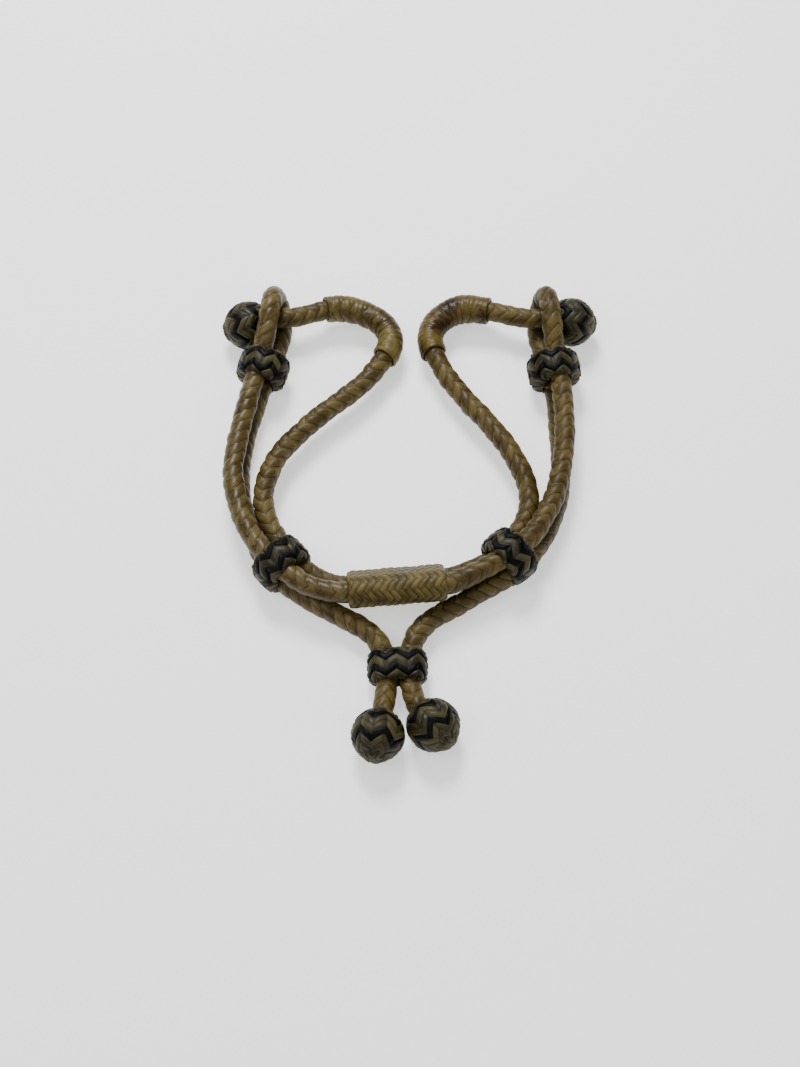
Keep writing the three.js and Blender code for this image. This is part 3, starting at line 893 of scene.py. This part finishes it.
@dataclass(frozen=True)
class Rawhide:
    """A rawhide finish.

    Args:
        name: The material's name.
        dark: Colour of its dark patches.
        middle: Its usual colour.
        pale: Colour of its pale patches.
        groove: Colour in the grooves, a painted shade that low relief takes on.
        roughness: Its roughness.
        coat: How much wax or varnish lies on it.
        bump: How deep its grain is, in metres.
        scatter: How much light passes through its skin.
        gloss: How strongly its own surface reflects.
    """

    name: str
    dark: tuple[float, float, float]
    middle: tuple[float, float, float]
    pale: tuple[float, float, float]
    groove: tuple[float, float, float]
    roughness: float = 0.5
    coat: float = 0.05
    bump: float = 0.00012
    scatter: float = 0.06
    gloss: float = 0.2

    def make(self, grain: bpy.types.NodeTree) -> bpy.types.Material:
        """Makes the material.

        Args:
            grain: The shared group of grain.

        Returns:
            The new material.
        """
        material = bpy.data.materials.new(self.name)
        material.use_nodes = True
        nodes = Node(material.node_tree)
        shader = material.node_tree.nodes["Principled BSDF"]
        coordinates = nodes.make("TexCoord")
        lace = nodes.make("Attribute", attribute_name="lace")
        relief = nodes.make("Attribute", attribute_name="relief")
        shared = nodes.make("Group")
        shared.node_tree = grain
        nodes.join(coordinates.outputs["Object"], shared.inputs["Place"])
        nodes.join(lace.outputs["Vector"], shared.inputs["Lace"])
        parts = nodes.make("SeparateXYZ")
        nodes.join(lace.outputs["Vector"], parts.inputs[0])
        own_shade = nodes.maths("MULTIPLY", parts.outputs["Z"], 0.22)
        mix = nodes.maths("ADD", shared.outputs["Mottle"], own_shade)
        hide = nodes.ramp(
            nodes.maths("SUBTRACT", mix, 0.11),
            [(0.32, self.dark), (0.62, self.pale), (0.47, self.middle)],
        )
        fibres = nodes.ramp(shared.outputs["Fibre"], [(0.3, (0.15,) * 3), (0.7, (0.85,) * 3)])
        worn = nodes.blend("SOFT_LIGHT", 0.35, hide, fibres)
        # Painted shade: where the relief attribute is low, in the grooves between laces and on faces
        # given relief 0, the colour goes most of the way to the groove colour.
        painted_groove_shade = nodes.ramp(relief.outputs["Fac"], [(0.0, (1.0,) * 3), (0.42, (0.0,) * 3)])
        colour = nodes.blend("MIX", nodes.maths("MULTIPLY", painted_groove_shade, 0.92), worn, self.groove)
        pits = nodes.ramp(shared.outputs["Pits"], [(0.55, (0.0,) * 3), (0.9, (1.0,) * 3)])
        speckled = nodes.blend("MULTIPLY", nodes.maths("MULTIPLY", pits, 0.35), colour, self.groove)
        nodes.join(speckled, shader.inputs["Base Color"])
        rough = nodes.make("MapRange")
        rough.inputs["From Min"].default_value = 0.3
        rough.inputs["From Max"].default_value = 0.7
        rough.inputs["To Min"].default_value = self.roughness - 0.1
        rough.inputs["To Max"].default_value = self.roughness + 0.12
        nodes.join(shared.outputs["Mottle"], rough.inputs["Value"])
        nodes.join(rough.outputs["Result"], shader.inputs["Roughness"])
        bump = nodes.make("Bump")
        bump.inputs["Strength"].default_value = 0.55
        bump.inputs["Distance"].default_value = self.bump
        nodes.join(shared.outputs["Height"], bump.inputs["Height"])
        nodes.join(bump.outputs["Normal"], shader.inputs["Normal"])
        shader.inputs["Specular IOR Level"].default_value = self.gloss
        shader.inputs["Coat Weight"].default_value = self.coat
        shader.inputs["Coat Roughness"].default_value = 0.28
        shader.inputs["Subsurface Weight"].default_value = self.scatter
        shader.inputs["Subsurface Radius"].default_value = (0.0016, 0.0010, 0.0004)
        shader.inputs["Subsurface Scale"].default_value = 1.0
        return material


@dataclass(frozen=True)
class Finishes:
    """All the materials."""

    rope: bpy.types.Material
    waxed_rope: bpy.types.Material
    knot_tan: bpy.types.Material
    knot_black: bpy.types.Material
    base: bpy.types.Material
    cover: bpy.types.Material
    sleeve: bpy.types.Material
    brown_sleeve: bpy.types.Material

    @classmethod
    def make(cls) -> "Finishes":
        """Makes them.

        Returns:
            The finishes.
        """
        grain = hide_grain()
        # The fourth colour of each hide is its painted groove shade.
        rope = Rawhide(
            "braided_rawhide",
            (0.044, 0.0262, 0.0034),
            (0.0578, 0.037, 0.0057),
            (0.0955, 0.0664, 0.0161),
            (0.0155, 0.00818, 0.00109),
        )
        waxed = Rawhide(
            "waxed_rawhide",
            (0.0461, 0.0282, 0.0040),
            (0.061, 0.0395, 0.0066),
            (0.098, 0.0688, 0.018),
            (0.0237, 0.0135, 0.00201),
            roughness=0.44,
            coat=0.12,
        )
        tan = Rawhide(
            "knot_tan",
            (0.0155, 0.012, 0.00294),
            (0.0299, 0.0241, 0.00651),
            (0.0542, 0.0457, 0.0149),
            (0.0048, 0.00377, 0.0015),
            roughness=0.5,
            coat=0.05,
        )
        black = Rawhide(
            "knot_black",
            (0.0016, 0.0016, 0.0018),
            (0.0026, 0.0026, 0.0028),
            (0.005, 0.005, 0.005),
            (0.0006, 0.0006, 0.0006),
            roughness=0.42,
            coat=0.0,
            bump=0.00025,
            scatter=0.0,
            gloss=0.06,
        )
        base = Rawhide(
            "knot_base",
            (0.00516, 0.00337, 0.00093),
            (0.00929, 0.00626, 0.00155),
            (0.0155, 0.0106, 0.00279),
            (0.00516, 0.00337, 0.00093),
            roughness=0.75,
            coat=0.0,
        )
        cover = Rawhide(
            "cover_rawhide",
            (0.0525, 0.0355, 0.0056),
            (0.0790, 0.0568, 0.0105),
            (0.116, 0.0875, 0.0215),
            (0.0134, 0.0077, 0.00155),
            roughness=0.48,
            coat=0.05,
        )
        sleeve = Rawhide(
            "shrunk_rawhide",
            (0.0387, 0.0241, 0.00294),
            (0.0748, 0.052, 0.0093),
            (0.119, 0.0905, 0.0242),
            (0.0186, 0.0106, 0.00109),
            roughness=0.45,
            coat=0.1,
            bump=0.0002,
            scatter=0.12,
        )
        brown = Rawhide(
            "shrunk_rawhide_brown",
            (0.0206, 0.00915, 0.000558),
            (0.049, 0.026, 0.0018),
            (0.0929, 0.0626, 0.0105),
            (0.0114, 0.00481, 0.00031),
            roughness=0.45,
            coat=0.1,
            bump=0.0002,
            scatter=0.12,
        )
        hides = (rope, waxed, tan, black, base, cover, sleeve, brown)
        return cls(*(hide.make(grain) for hide in hides))


@dataclass(frozen=True)
class Crossing:
    """The stretch over which a rope changes from one body to the next.

    Args:
        first: The body that it follows before; not used.
        second: The body that it follows after; not used.
        start: The point where it begins to change; not used.
        end: The point where it has changed; not used.
    """

    first: str
    second: str
    start: tuple[float, float, float]
    end: tuple[float, float, float]


LEFT_TWIST = Crossing("left_loop", "link", (-0.0572, -0.0311, 0.0134), (-0.044, -0.0461, 0.0134))
RIGHT_TWIST = Crossing("right_loop", "link", (0.0429, -0.0267, 0.0134), (0.0281, -0.0401, 0.0134))
TAIL_BEND = Crossing("link", "tails", (-0.0071, -0.0575, 0.0081), (-0.0071, -0.0695, 0.0081))
SOCKET = 0.004


class RopeWork:
    """The two braided ropes, each made in several stretches."""

    def __init__(self, finishes: Finishes) -> None:
        """Lays out the two ropes.

        Args:
            finishes: The materials.
        """
        self.finishes = finishes
        self.braid = Braid()
        self.smooth_braid = Braid(groove=0.00468, unevenness=0.0004)
        self.leg = Route([*LEFT_LEG, *LEG_MIDDLE, *reversed(RIGHT_LEG)])
        self.bight = Route([*reversed(LEFT_BIGHT), *BIGHT_MIDDLE, *RIGHT_BIGHT])

    def stretch(
        self,
        name: str,
        route: Route,
        start: float,
        end: float,
        bend: Crossing,
        nodes: tuple[str, ...],
    ) -> None:
        """Makes one stretch of rope.

        Args:
            name: The piece's name.
            route: The rope's line.
            start: Where on the line it starts.
            end: Where it ends.
            bend: The joint that it crosses; not used.
            nodes: The CAD nodes that it stands for.
        """
        waxed = name.startswith("left_bight")
        size = self.smooth_braid if waxed else self.braid
        finish = self.finishes.waxed_rope if waxed else self.finishes.rope
        rope = braided_tube(name, size, route, start, end, [finish])
        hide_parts(*nodes)
        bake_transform(rope)
        log.info("%s: %.0f mm of rope", name, (end - start) * 1000)

    def build(self) -> None:
        """Makes every stretch."""
        leg_middle = self.leg.nearest((-0.0064, -0.0357, 0.0105))
        bight_middle = self.bight.nearest((-0.0064, -0.0423, 0.0185))
        left_split = self.bight.nearest((-0.027, -0.0548, 0.008))
        right_split = self.bight.nearest((0.0158, -0.0497, 0.008))
        self.stretch(
            "left_leg_rope",
            self.leg,
            SOCKET,
            leg_middle,
            LEFT_TWIST,
            ("left_leg_strand", "left_leg_core", "centre_leg_strand", "centre_leg_core"),
        )
        self.stretch(
            "right_leg_rope",
            self.leg,
            leg_middle,
            self.leg.length - SOCKET,
            RIGHT_TWIST,
            ("right_leg_strand", "right_leg_core"),
        )
        self.stretch(
            "left_tail_rope",
            self.bight,
            SOCKET,
            left_split,
            TAIL_BEND,
            ("left_tail_strand", "left_tail_core", "left_lower_strand", "left_lower_core"),
        )
        self.stretch(
            "left_bight_rope",
            self.bight,
            left_split,
            bight_middle,
            LEFT_TWIST,
            ("left_bight_strand", "left_bight_core", "centre_bight_strand", "centre_bight_core"),
        )
        self.stretch(
            "right_bight_rope",
            self.bight,
            bight_middle,
            right_split,
            RIGHT_TWIST,
            ("right_bight_strand", "right_bight_core"),
        )
        self.stretch(
            "right_tail_rope",
            self.bight,
            right_split,
            self.bight.length - SOCKET,
            TAIL_BEND,
            ("right_tail_strand", "right_tail_core", "right_lower_strand", "right_lower_core"),
        )


def ring_outline(radius: float, inner: float, length: float) -> np.ndarray:
    """The outline of a ring knot's skin, which rolls over both ends.

    Args:
        radius: The ring's outer radius.
        inner: The radius where its ends roll in.
        length: Its length.

    Returns:
        Radius and height points.
    """
    turn = np.linspace(-1.0, 1.0, 161) * (math.pi / 2 + 0.35)
    middle = radius - 0.0032
    side = np.sign(np.cos(turn)) * np.abs(np.cos(turn)) ** 0.55
    reach = np.where(side > 0, (radius - middle) * side, (middle - inner) * side / 0.55)
    height = length / 2 * np.sign(turn) * np.abs(np.sin(turn)) ** 0.9
    return np.stack([middle + reach, height], axis=1)


def knob_outline(radius: float, mouth: float, tip: float) -> np.ndarray:
    """The outline of a knob's skin, from its mouth to its closing tip.

    Args:
        radius: The knob's radius.
        mouth: The radius of its mouth.
        tip: How far its closing end stands out past the ball.

    Returns:
        Radius and height points.
    """
    start = -math.acos(mouth / radius)
    turn = np.linspace(start, math.pi / 2, 120)
    ball = radius * np.cos(turn)
    height = radius * np.sin(turn) + tip * smooth((np.sin(turn) - 0.86) / 0.14)
    edge = radius * math.sin(start)
    lip = np.array([[mouth - 0.0003, edge + 0.0012], [mouth - 0.0001, edge + 0.0003]])
    line = np.stack([ball, height], axis=1)
    line[-1, 0] = 0.0006
    return np.vstack([lip, line])


TAN = LaceColour.TAN
BLACK = LaceColour.BLACK
RING_LACES = (
    Lace(1.5, TAN),
    Lace(1.9, TAN, 0.0007),
    Lace(2.3, BLACK, 0.0006),
    Lace(3.1, TAN, 0.0006),
    Lace(2.3, BLACK, 0.0006),
    Lace(1.9, TAN, 0.0007),
    Lace(1.5, TAN),
)
KNOB_LACES = (
    Lace(1.6, TAN),
    Lace(2.2, TAN),
    Lace(2.4, BLACK),
    Lace(2.6, TAN),
    Lace(2.6, TAN),
    Lace(2.4, BLACK),
    Lace(2.6, TAN),
    Lace(2.4, TAN),
    Lace(2.2, TAN),
    Lace(1.8, TAN),
)


@dataclass(frozen=True)
class RingSpec:
    """One ring knot.

    Args:
        node: Its CAD node.
        base: Its foundation's CAD node.
        body: The body that it rides on.
        place: Where it sits.
        radius: Its outer radius.
        inner: The radius of its hole.
        points: How many zigzag points go round it.
        half: Half the distance between its two round ends.
    """

    node: str
    base: str
    body: str
    place: Place
    radius: float
    inner: float
    points: int
    half: float = 0.0


RINGS = (
    RingSpec(
        "left_side_ring",
        "left_side_ring_base",
        "left_loop",
        Place((-0.0608, -0.027, 0.0134), (0.661, -0.75, 0.0), (0.0, 0.0, 1.0)),
        radius=0.0131,
        inner=0.0118,
        points=8,
    ),
    RingSpec(
        "right_side_ring",
        "right_side_ring_base",
        "right_loop",
        Place((0.0469, -0.0231, 0.0134), (-0.741, -0.672, 0.0), (0.05, 0.0, 1.0)),
        radius=0.0131,
        inner=0.0118,
        points=8,
    ),
    RingSpec(
        "left_keeper_ring",
        "left_keeper_base",
        "left_keeper",
        Place((-0.0731, 0.0803, 0.0132), (-0.23, -0.969, -0.07), (-0.3, 0.0, 1.0)),
        radius=0.0124,
        inner=0.0111,
        points=8,
    ),
    RingSpec(
        "right_keeper_ring",
        "right_keeper_base",
        "right_keeper",
        Place((0.0718, 0.0796, 0.0134), (0.13, -0.99, -0.05), (0.26, 0.0, 1.0)),
        radius=0.0128,
        inner=0.0111,
        points=8,
    ),
    RingSpec(
        "tail_ring",
        "tail_ring_base",
        "tail_slide",
        Place((-0.006, -0.0772, 0.0084), (0.029, -1.0, 0.0), (1.0, 0.029, 0.0)),
        radius=0.0081,
        inner=0.0062,
        points=7,
        half=0.0056,
    ),
)


class RingKnots:
    """The five ring knots, each a woven skin over a foundation ring."""

    LENGTH = 0.0146
    MOUTH_SHARE = 0.47
    LACE_RISE = 0.0019
    NEAR = 0.014
    WRAP_OUT = 0.0008
    WRAP_THICK = 0.0004
    WRAP_INSET = 0.0011

    def __init__(self, finishes: Finishes, ropes: RopeWork) -> None:
        """Keeps what the rings sit on.

        Args:
            finishes: The materials.
            ropes: The ropes that they hold.
        """
        self.finishes = finishes
        self.ropes = ropes

    def strands(self, place: Place, height: float) -> np.ndarray:
        """Finds where the ropes pass through a ring.

        Args:
            place: The ring's place.
            height: How far along it to look.

        Returns:
            The strands' middles across the ring, n by 2.
        """
        axes = place.matrix()
        found = []
        for route in (self.ropes.leg, self.ropes.bight):
            local = (route.line - np.array(place.at)) @ axes.T
            before, after = local[:-1], local[1:]
            passes = (before[:, 2] - height) * (after[:, 2] - height) <= 0.0
            near = np.hypot(before[:, 0], before[:, 1]) < self.NEAR
            for n in np.flatnonzero(passes & near):
                found.append(before[n, :2])
        return np.array(found)

    def skin(self, ring: RingSpec) -> None:
        """Weaves a ring's skin.

        Args:
            ring: The ring.
        """
        outline = ring_outline(ring.radius, ring.inner, self.LENGTH)
        mouths = tuple(
            self.strands(ring.place, side * self.LENGTH * self.MOUTH_SHARE) for side in (-1.0, 1.0)
        )
        knot = Knot(outline, RING_LACES, ring.points, self.LACE_RISE, ring.half, mouths=mouths)
        finishes = [self.finishes.knot_tan, self.finishes.knot_black]
        skin = woven_knot(ring.node + "_skin", knot, ring.place, finishes)
        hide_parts(ring.node)
        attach(skin, ring.body)

    def base(self, ring: RingSpec) -> None:
        """Makes the foundation ring under the skin.

        Args:
            ring: The ring.
        """
        bpy.ops.object.select_all(action="DESELECT")
        bpy.ops.mesh.primitive_torus_add(
            major_segments=48,
            minor_segments=10,
            major_radius=ring.inner + self.WRAP_OUT,
            minor_radius=self.WRAP_THICK,
        )
        base = bpy.context.object
        base.name = ring.base + "_wrap"
        stretch = (self.LENGTH / 2 - self.WRAP_INSET) / self.WRAP_THICK
        for vertex in base.data.vertices:
            vertex.co.x += ring.half * (1 if vertex.co.x > 0 else -1)
            vertex.co.z *= stretch
        ring.place.seat(base)
        base.data.shade_smooth()
        base.data.materials.append(self.finishes.base)
        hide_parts(ring.base)
        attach(base, ring.body)

    def build(self) -> None:
        """Makes every ring."""
        for ring in RINGS:
            self.skin(ring)
            self.base(ring)
            log.info("%s: skin and base", ring.node)


@dataclass(frozen=True)
class KnobSpec:
    """One knob on a rope's end.

    Args:
        node: Its CAD node; its ball's node is the same name and _core.
        body: The body that it rides on.
        rope: Which rope it ends.
        at_end: Whether it is on the far end of that rope.
        turn: How far its weave is turned, in degrees.
    """

    node: str
    body: str
    rope: str
    at_end: bool
    turn: float = 0.0


KNOBS = (
    KnobSpec("left_knob", "left_loop", "leg", False, 20.0),
    KnobSpec("right_knob", "right_loop", "leg", True, 5.0),
    KnobSpec("left_tail_knob", "tails", "bight", False, 12.0),
    KnobSpec("right_tail_knob", "tails", "bight", True, 40.0),
)


class Knobs:
    """The four woven knobs and the balls under them."""

    RADIUS = 0.0118
    MOUTH = 0.0056
    TIP = 0.0011
    BALL = 0.0094
    POINTS = 6
    LACE_RISE = 0.0026
    STEPS = (8, 14)

    def __init__(self, finishes: Finishes, ropes: RopeWork) -> None:
        """Keeps what the knobs sit on.

        Args:
            finishes: The materials.
            ropes: The ropes that they end.
        """
        self.finishes = finishes
        self.ropes = ropes

    def place(self, knob: KnobSpec) -> Place:
        """Finds a knob's place on its rope's end.

        Args:
            knob: The knob.

        Returns:
            Its place, facing away from the rope.
        """
        route = self.ropes.leg if knob.rope == "leg" else self.ropes.bight
        distance = route.length if knob.at_end else 0.0
        at, tangent, _, _ = route.at(np.array([distance]))
        along = tangent[0] * (1.0 if knob.at_end else -1.0)
        turn = math.radians(knob.turn)
        flat = np.cross(along, (0.0, 0.0, 1.0))
        across = math.cos(turn) * np.array((0.0, 0.0, 1.0)) + math.sin(turn) * flat
        return Place(tuple(at[0]), tuple(along), tuple(across))

    def build(self) -> None:
        """Makes every knob."""
        for knob in KNOBS:
            place = self.place(knob)
            outline = knob_outline(self.RADIUS, self.MOUTH, self.TIP)
            woven = Knot(
                outline, KNOB_LACES, self.POINTS, self.LACE_RISE, closed=True, steps=self.STEPS
            )
            finishes = [self.finishes.knot_tan, self.finishes.knot_black]
            skin = woven_knot(knob.node + "_skin", woven, place, finishes)
            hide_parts(knob.node)
            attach(skin, knob.body)
            bpy.ops.object.select_all(action="DESELECT")
            bpy.ops.mesh.primitive_uv_sphere_add(segments=24, ring_count=14, radius=self.BALL)
            ball = bpy.context.object
            ball.name = knob.node + "_ball"
            ball.data.transform(Matrix.Translation(Vector(place.at)))
            ball.data.shade_smooth()
            ball.data.materials.append(self.finishes.base)
            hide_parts(knob.node + "_core")
            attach(ball, knob.body)
            log.info("%s: skin and ball", knob.node)


class CentreCover:
    """The fine braid round the middle of both ropes, and the binding under it."""

    PLACE = Place((-0.0064, -0.039, 0.0145), (0.996, 0.088, 0.0), (0.056, -0.636, 0.77))
    LENGTH = 0.046
    HALF = 0.00515
    END_ROUND = 0.0028
    BINDING_RADIUS = 0.0054
    BINDING_INSET = 0.004
    BRAID = Braid(
        crown=0.0076, groove=0.0070, half=HALF, laces=14, lead=0.05, cell=6, unevenness=0.0002
    )

    def __init__(self, finishes: Finishes) -> None:
        """Keeps the finishes.

        Args:
            finishes: The materials.
        """
        self.finishes = finishes

    def build(self) -> None:
        """Makes the cover and its binding."""
        across, _, along = self.PLACE.matrix()
        middle = np.array(self.PLACE.at)
        ends = [tuple(middle + along * self.LENGTH * share) for share in (-0.5, -0.17, 0.17, 0.5)]
        route = Route(ends)
        route.normals = np.tile(across, (len(route.line), 1))
        cover = braided_tube(
            "centre_cover_braid",
            self.BRAID,
            route,
            0.0,
            route.length,
            [self.finishes.cover],
            end_round=self.END_ROUND,
        )
        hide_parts("centre_cover")
        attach(cover, "link")
        bpy.ops.object.select_all(action="DESELECT")
        bpy.ops.mesh.primitive_cylinder_add(
            vertices=32, radius=self.BINDING_RADIUS, depth=self.LENGTH - self.BINDING_INSET
        )
        binding = bpy.context.object
        binding.name = "centre_binding_wrap"
        for vertex in binding.data.vertices:
            vertex.co.x += self.HALF * (1 if vertex.co.x > 0 else -1)
        self.PLACE.seat(binding)
        binding.data.materials.append(self.finishes.base)
        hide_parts("centre_binding")
        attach(binding, "link")
        log.info("centre cover: %.0f mm long", self.LENGTH * 1000)


@dataclass(frozen=True)
class SleeveSpec:
    """One bend sleeve.

    Args:
        side: Which loop it is on.
        start: A point near where it starts.
        end: A point near where it ends.
        radius: Its usual outer radius.
        lump: How much fatter it is at its lump.
        lump_at: Where along it the lump is, from 0 to 1.
        phase: A number that makes its wrinkles its own.
    """

    side: str
    start: tuple[float, float, float]
    end: tuple[float, float, float]
    radius: float
    lump: float
    lump_at: float
    phase: float


SLEEVES = (
    SleeveSpec("left", (-0.0425, 0.115, 0.0135), (-0.013, 0.0876, 0.0118), 0.0064, 0.0004, 0.2, 0.7),
    SleeveSpec("right", (0.0122, 0.09, 0.0115), (0.0405, 0.1144, 0.0133), 0.0066, 0.0009, 0.72, 2.9),
)


class BendSleeves:
    """The two sleeves of shrunk rawhide round the leg strands' bends."""

    ROWS = 260
    AROUND = 72
    INNER = 0.0052
    BACK_ROWS = 24
    BACK_INSET = 0.02
    LIP_LENGTH = 0.0012
    LIP_RISE = 0.00025
    ROLL_LENGTH = 0.0009
    LUMP_LENGTH = 0.16

    def __init__(self, finishes: Finishes, ropes: RopeWork) -> None:
        """Keeps what the sleeves sit on.

        Args:
            finishes: The materials.
            ropes: The ropes.
        """
        self.finishes = finishes
        self.route = ropes.leg

    def wrinkles(
        self, share: np.ndarray, angle: np.ndarray, inside: np.ndarray, phase: float
    ) -> np.ndarray:
        """The height of a sleeve's wrinkles.

        Args:
            share: How far along the sleeve, from 0 to 1.
            angle: The angle round it.
            inside: 1 on the inside of the bend, 0 on the outside.
            phase: A number that makes the wrinkles this sleeve's own.

        Returns:
            Heights in metres.
        """
        wander = 0.9 * np.sin(2 * angle + phase) + 0.5 * np.sin(3 * angle - 1.7 * phase)
        creases = np.abs(np.sin(share * 31.0 + wander + 1.4 * np.sin(share * 7.0 + phase)))
        fine = np.abs(np.sin(share * 67.0 - 0.8 * wander + phase))
        lumps = np.sin(share * 11.0 + phase) * np.cos(angle * 2 + phase)
        depth = 0.00022 + 0.0005 * inside
        return depth * (creases**0.7 - 0.7) + 0.00014 * (fine - 0.6) + 0.0002 * lumps

    def build_one(self, sleeve: SleeveSpec, finish: bpy.types.Material) -> None:
        """Makes one sleeve.

        Args:
            sleeve: Its sizes.
            finish: Its material.
        """
        start = self.route.nearest(sleeve.start)
        end = self.route.nearest(sleeve.end)
        share = np.repeat(np.linspace(0.0, 1.0, self.ROWS), self.AROUND)
        angle = np.tile(np.arange(self.AROUND) * 2 * np.pi / self.AROUND, self.ROWS)
        place, _, normal, binormal = self.route.at(start + (end - start) * share)
        middle = self.route.at(np.array([(start + end) / 2]))[0][0]
        chord = self.route.at(np.array([start, end]))[0].mean(axis=0)
        inward = (chord - middle) / np.linalg.norm(chord - middle)
        outward = np.cos(angle)[:, None] * normal + np.sin(angle)[:, None] * binormal
        inside = smooth((outward @ inward + 0.2) / 1.2)
        lip = sum(
            np.exp(-((way * (end - start) / self.LIP_LENGTH) ** 2)) for way in (share, 1 - share)
        )
        roll = quarter_round(np.minimum(share, 1 - share) * (end - start) / self.ROLL_LENGTH)
        height = self.wrinkles(share, angle, inside, sleeve.phase)
        lump = sleeve.lump * np.exp(-(((share - sleeve.lump_at) / self.LUMP_LENGTH) ** 2))
        radius = sleeve.radius + height + lump + self.LIP_RISE * lip
        radius = self.INNER + (radius - self.INNER) * (0.25 + 0.75 * roll)
        # Painted shade: the wrinkles' creases get low relief, so the finish darkens them towards its
        # groove colour.
        relief = np.clip(0.62 + height / 0.0008, 0.0, 1.0)
        tint = 0.5 + 0.5 * np.sin(share * 9.0 + angle)
        values = np.stack([share * 6.0, angle * 2 / np.pi, tint], axis=1)
        grid = SurfaceGrid(sleeve.side + "_sleeve_hide")
        grid.add_points(place + outward * radius[:, None], values, relief)
        shares_back = np.linspace(self.BACK_INSET, 1 - self.BACK_INSET, self.BACK_ROWS)
        back = self.route.at(end + (start - end) * shares_back)
        for at, side, up in zip(back[0], back[2], back[3]):
            ring = angle[: self.AROUND]
            points = at + self.INNER * (np.cos(ring)[:, None] * side + np.sin(ring)[:, None] * up)
            grid.add_points(points, np.zeros((self.AROUND, 3)), np.zeros(self.AROUND))
        rows = self.ROWS + self.BACK_ROWS
        ring = np.arange(self.AROUND)
        for n in range(rows):
            low = n * self.AROUND
            high = (n + 1) % rows * self.AROUND
            after = np.roll(ring, -1)
            grid.add_faces(np.stack([low + ring, low + after, high + after, high + ring], axis=1))
        piece = grid.build(finish)
        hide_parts(sleeve.side + "_bend_sleeve")
        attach(piece, sleeve.side + "_loop")
        log.info("%s sleeve: %.0f mm long", sleeve.side, (end - start) * 1000)

    def build(self) -> None:
        """Makes both sleeves."""
        self.build_one(SLEEVES[0], self.finishes.sleeve)
        self.build_one(SLEEVES[1], self.finishes.brown_sleeve)


class Studio:
    """The camera, the floor and the lights."""

    AIM = Vector((-0.00485, -0.0105, 0.012))
    DISTANCE = 0.8
    ELEVATION = math.radians(64.0)
    LENS = 56.7
    SENSOR = 36.0
    FLOOR_SIZE = 60.0
    WORLD_STRENGTH = 0.3

    def camera(self) -> None:
        """Makes the camera."""
        data = bpy.data.cameras.new("camera")
        data.lens = self.LENS
        data.sensor_width = self.SENSOR
        camera = bpy.data.objects.new("camera", data)
        bpy.context.scene.collection.objects.link(camera)
        back = Vector((0.0, -math.cos(self.ELEVATION), math.sin(self.ELEVATION)))
        camera.location = self.AIM + back * self.DISTANCE
        camera.rotation_euler = (math.pi / 2 - self.ELEVATION, 0.0, 0.0)
        bpy.context.scene.camera = camera

    def floor(self) -> None:
        """Makes the plain pale floor."""
        bpy.ops.object.select_all(action="DESELECT")
        bpy.ops.mesh.primitive_plane_add(size=self.FLOOR_SIZE, location=(0.0, 0.0, 0.0))
        floor = bpy.context.object
        floor.name = "floor"
        material = bpy.data.materials.new("floor")
        material.use_nodes = True
        shader = material.node_tree.nodes["Principled BSDF"]
        shader.inputs["Base Color"].default_value = (0.93, 0.93, 0.93, 1.0)
        shader.inputs["Roughness"].default_value = 0.9
        shader.inputs["Emission Color"].default_value = (1.0, 1.0, 1.0, 1.0)
        shader.inputs["Emission Strength"].default_value = 0.75
        floor.data.materials.append(material)
        floor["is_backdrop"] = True

    def light(self, name: str, location: tuple[float, float, float], size: float, power: float) -> None:
        """Makes one soft light that faces the object.

        Args:
            name: Its name.
            location: Where it stands.
            size: Its size.
            power: Its power in watts.
        """
        data = bpy.data.lights.new(name, "AREA")
        data.size = size
        data.energy = power
        light = bpy.data.objects.new(name, data)
        light.location = location
        light.rotation_euler = (self.AIM - Vector(location)).to_track_quat("-Z", "Y").to_euler()
        bpy.context.scene.collection.objects.link(light)

    def build(self) -> None:
        """Makes all of it."""
        self.camera()
        self.floor()
        self.light("key", (-0.15, 0.75, 1.0), 0.4, 19.0)
        self.light("fill", (0.7, -0.7, 0.9), 0.9, 3.2)
        self.light("top", (-0.6, -0.2, 1.1), 0.6, 5.0)
        world = bpy.data.worlds.new("studio")
        world.use_nodes = True
        background = world.node_tree.nodes["Background"]
        background.inputs["Color"].default_value = (1.0, 1.0, 1.0, 1.0)
        background.inputs["Strength"].default_value = self.WORLD_STRENGTH
        bpy.context.scene.world = world


def box_lists() -> list[list[float]]:
    """The shown object's box.

    Returns:
        Its lowest and highest corners as plain lists.
    """
    return [[float(x) for x in corner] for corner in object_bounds()]


def main() -> None:
    """Builds the whole scene."""
    logging.basicConfig(level=logging.INFO, format="%(message)s")
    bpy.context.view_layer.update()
    Studio().build()
    finishes = Finishes.make()
    ropes = RopeWork(finishes)
    ropes.build()
    RingKnots(finishes, ropes).build()
    Knobs(finishes, ropes).build()
    CentreCover(finishes).build()
    BendSleeves(finishes, ropes).build()
    log.info("the visual model's box: %s", box_lists())


if __name__ == "__main__":
    main()
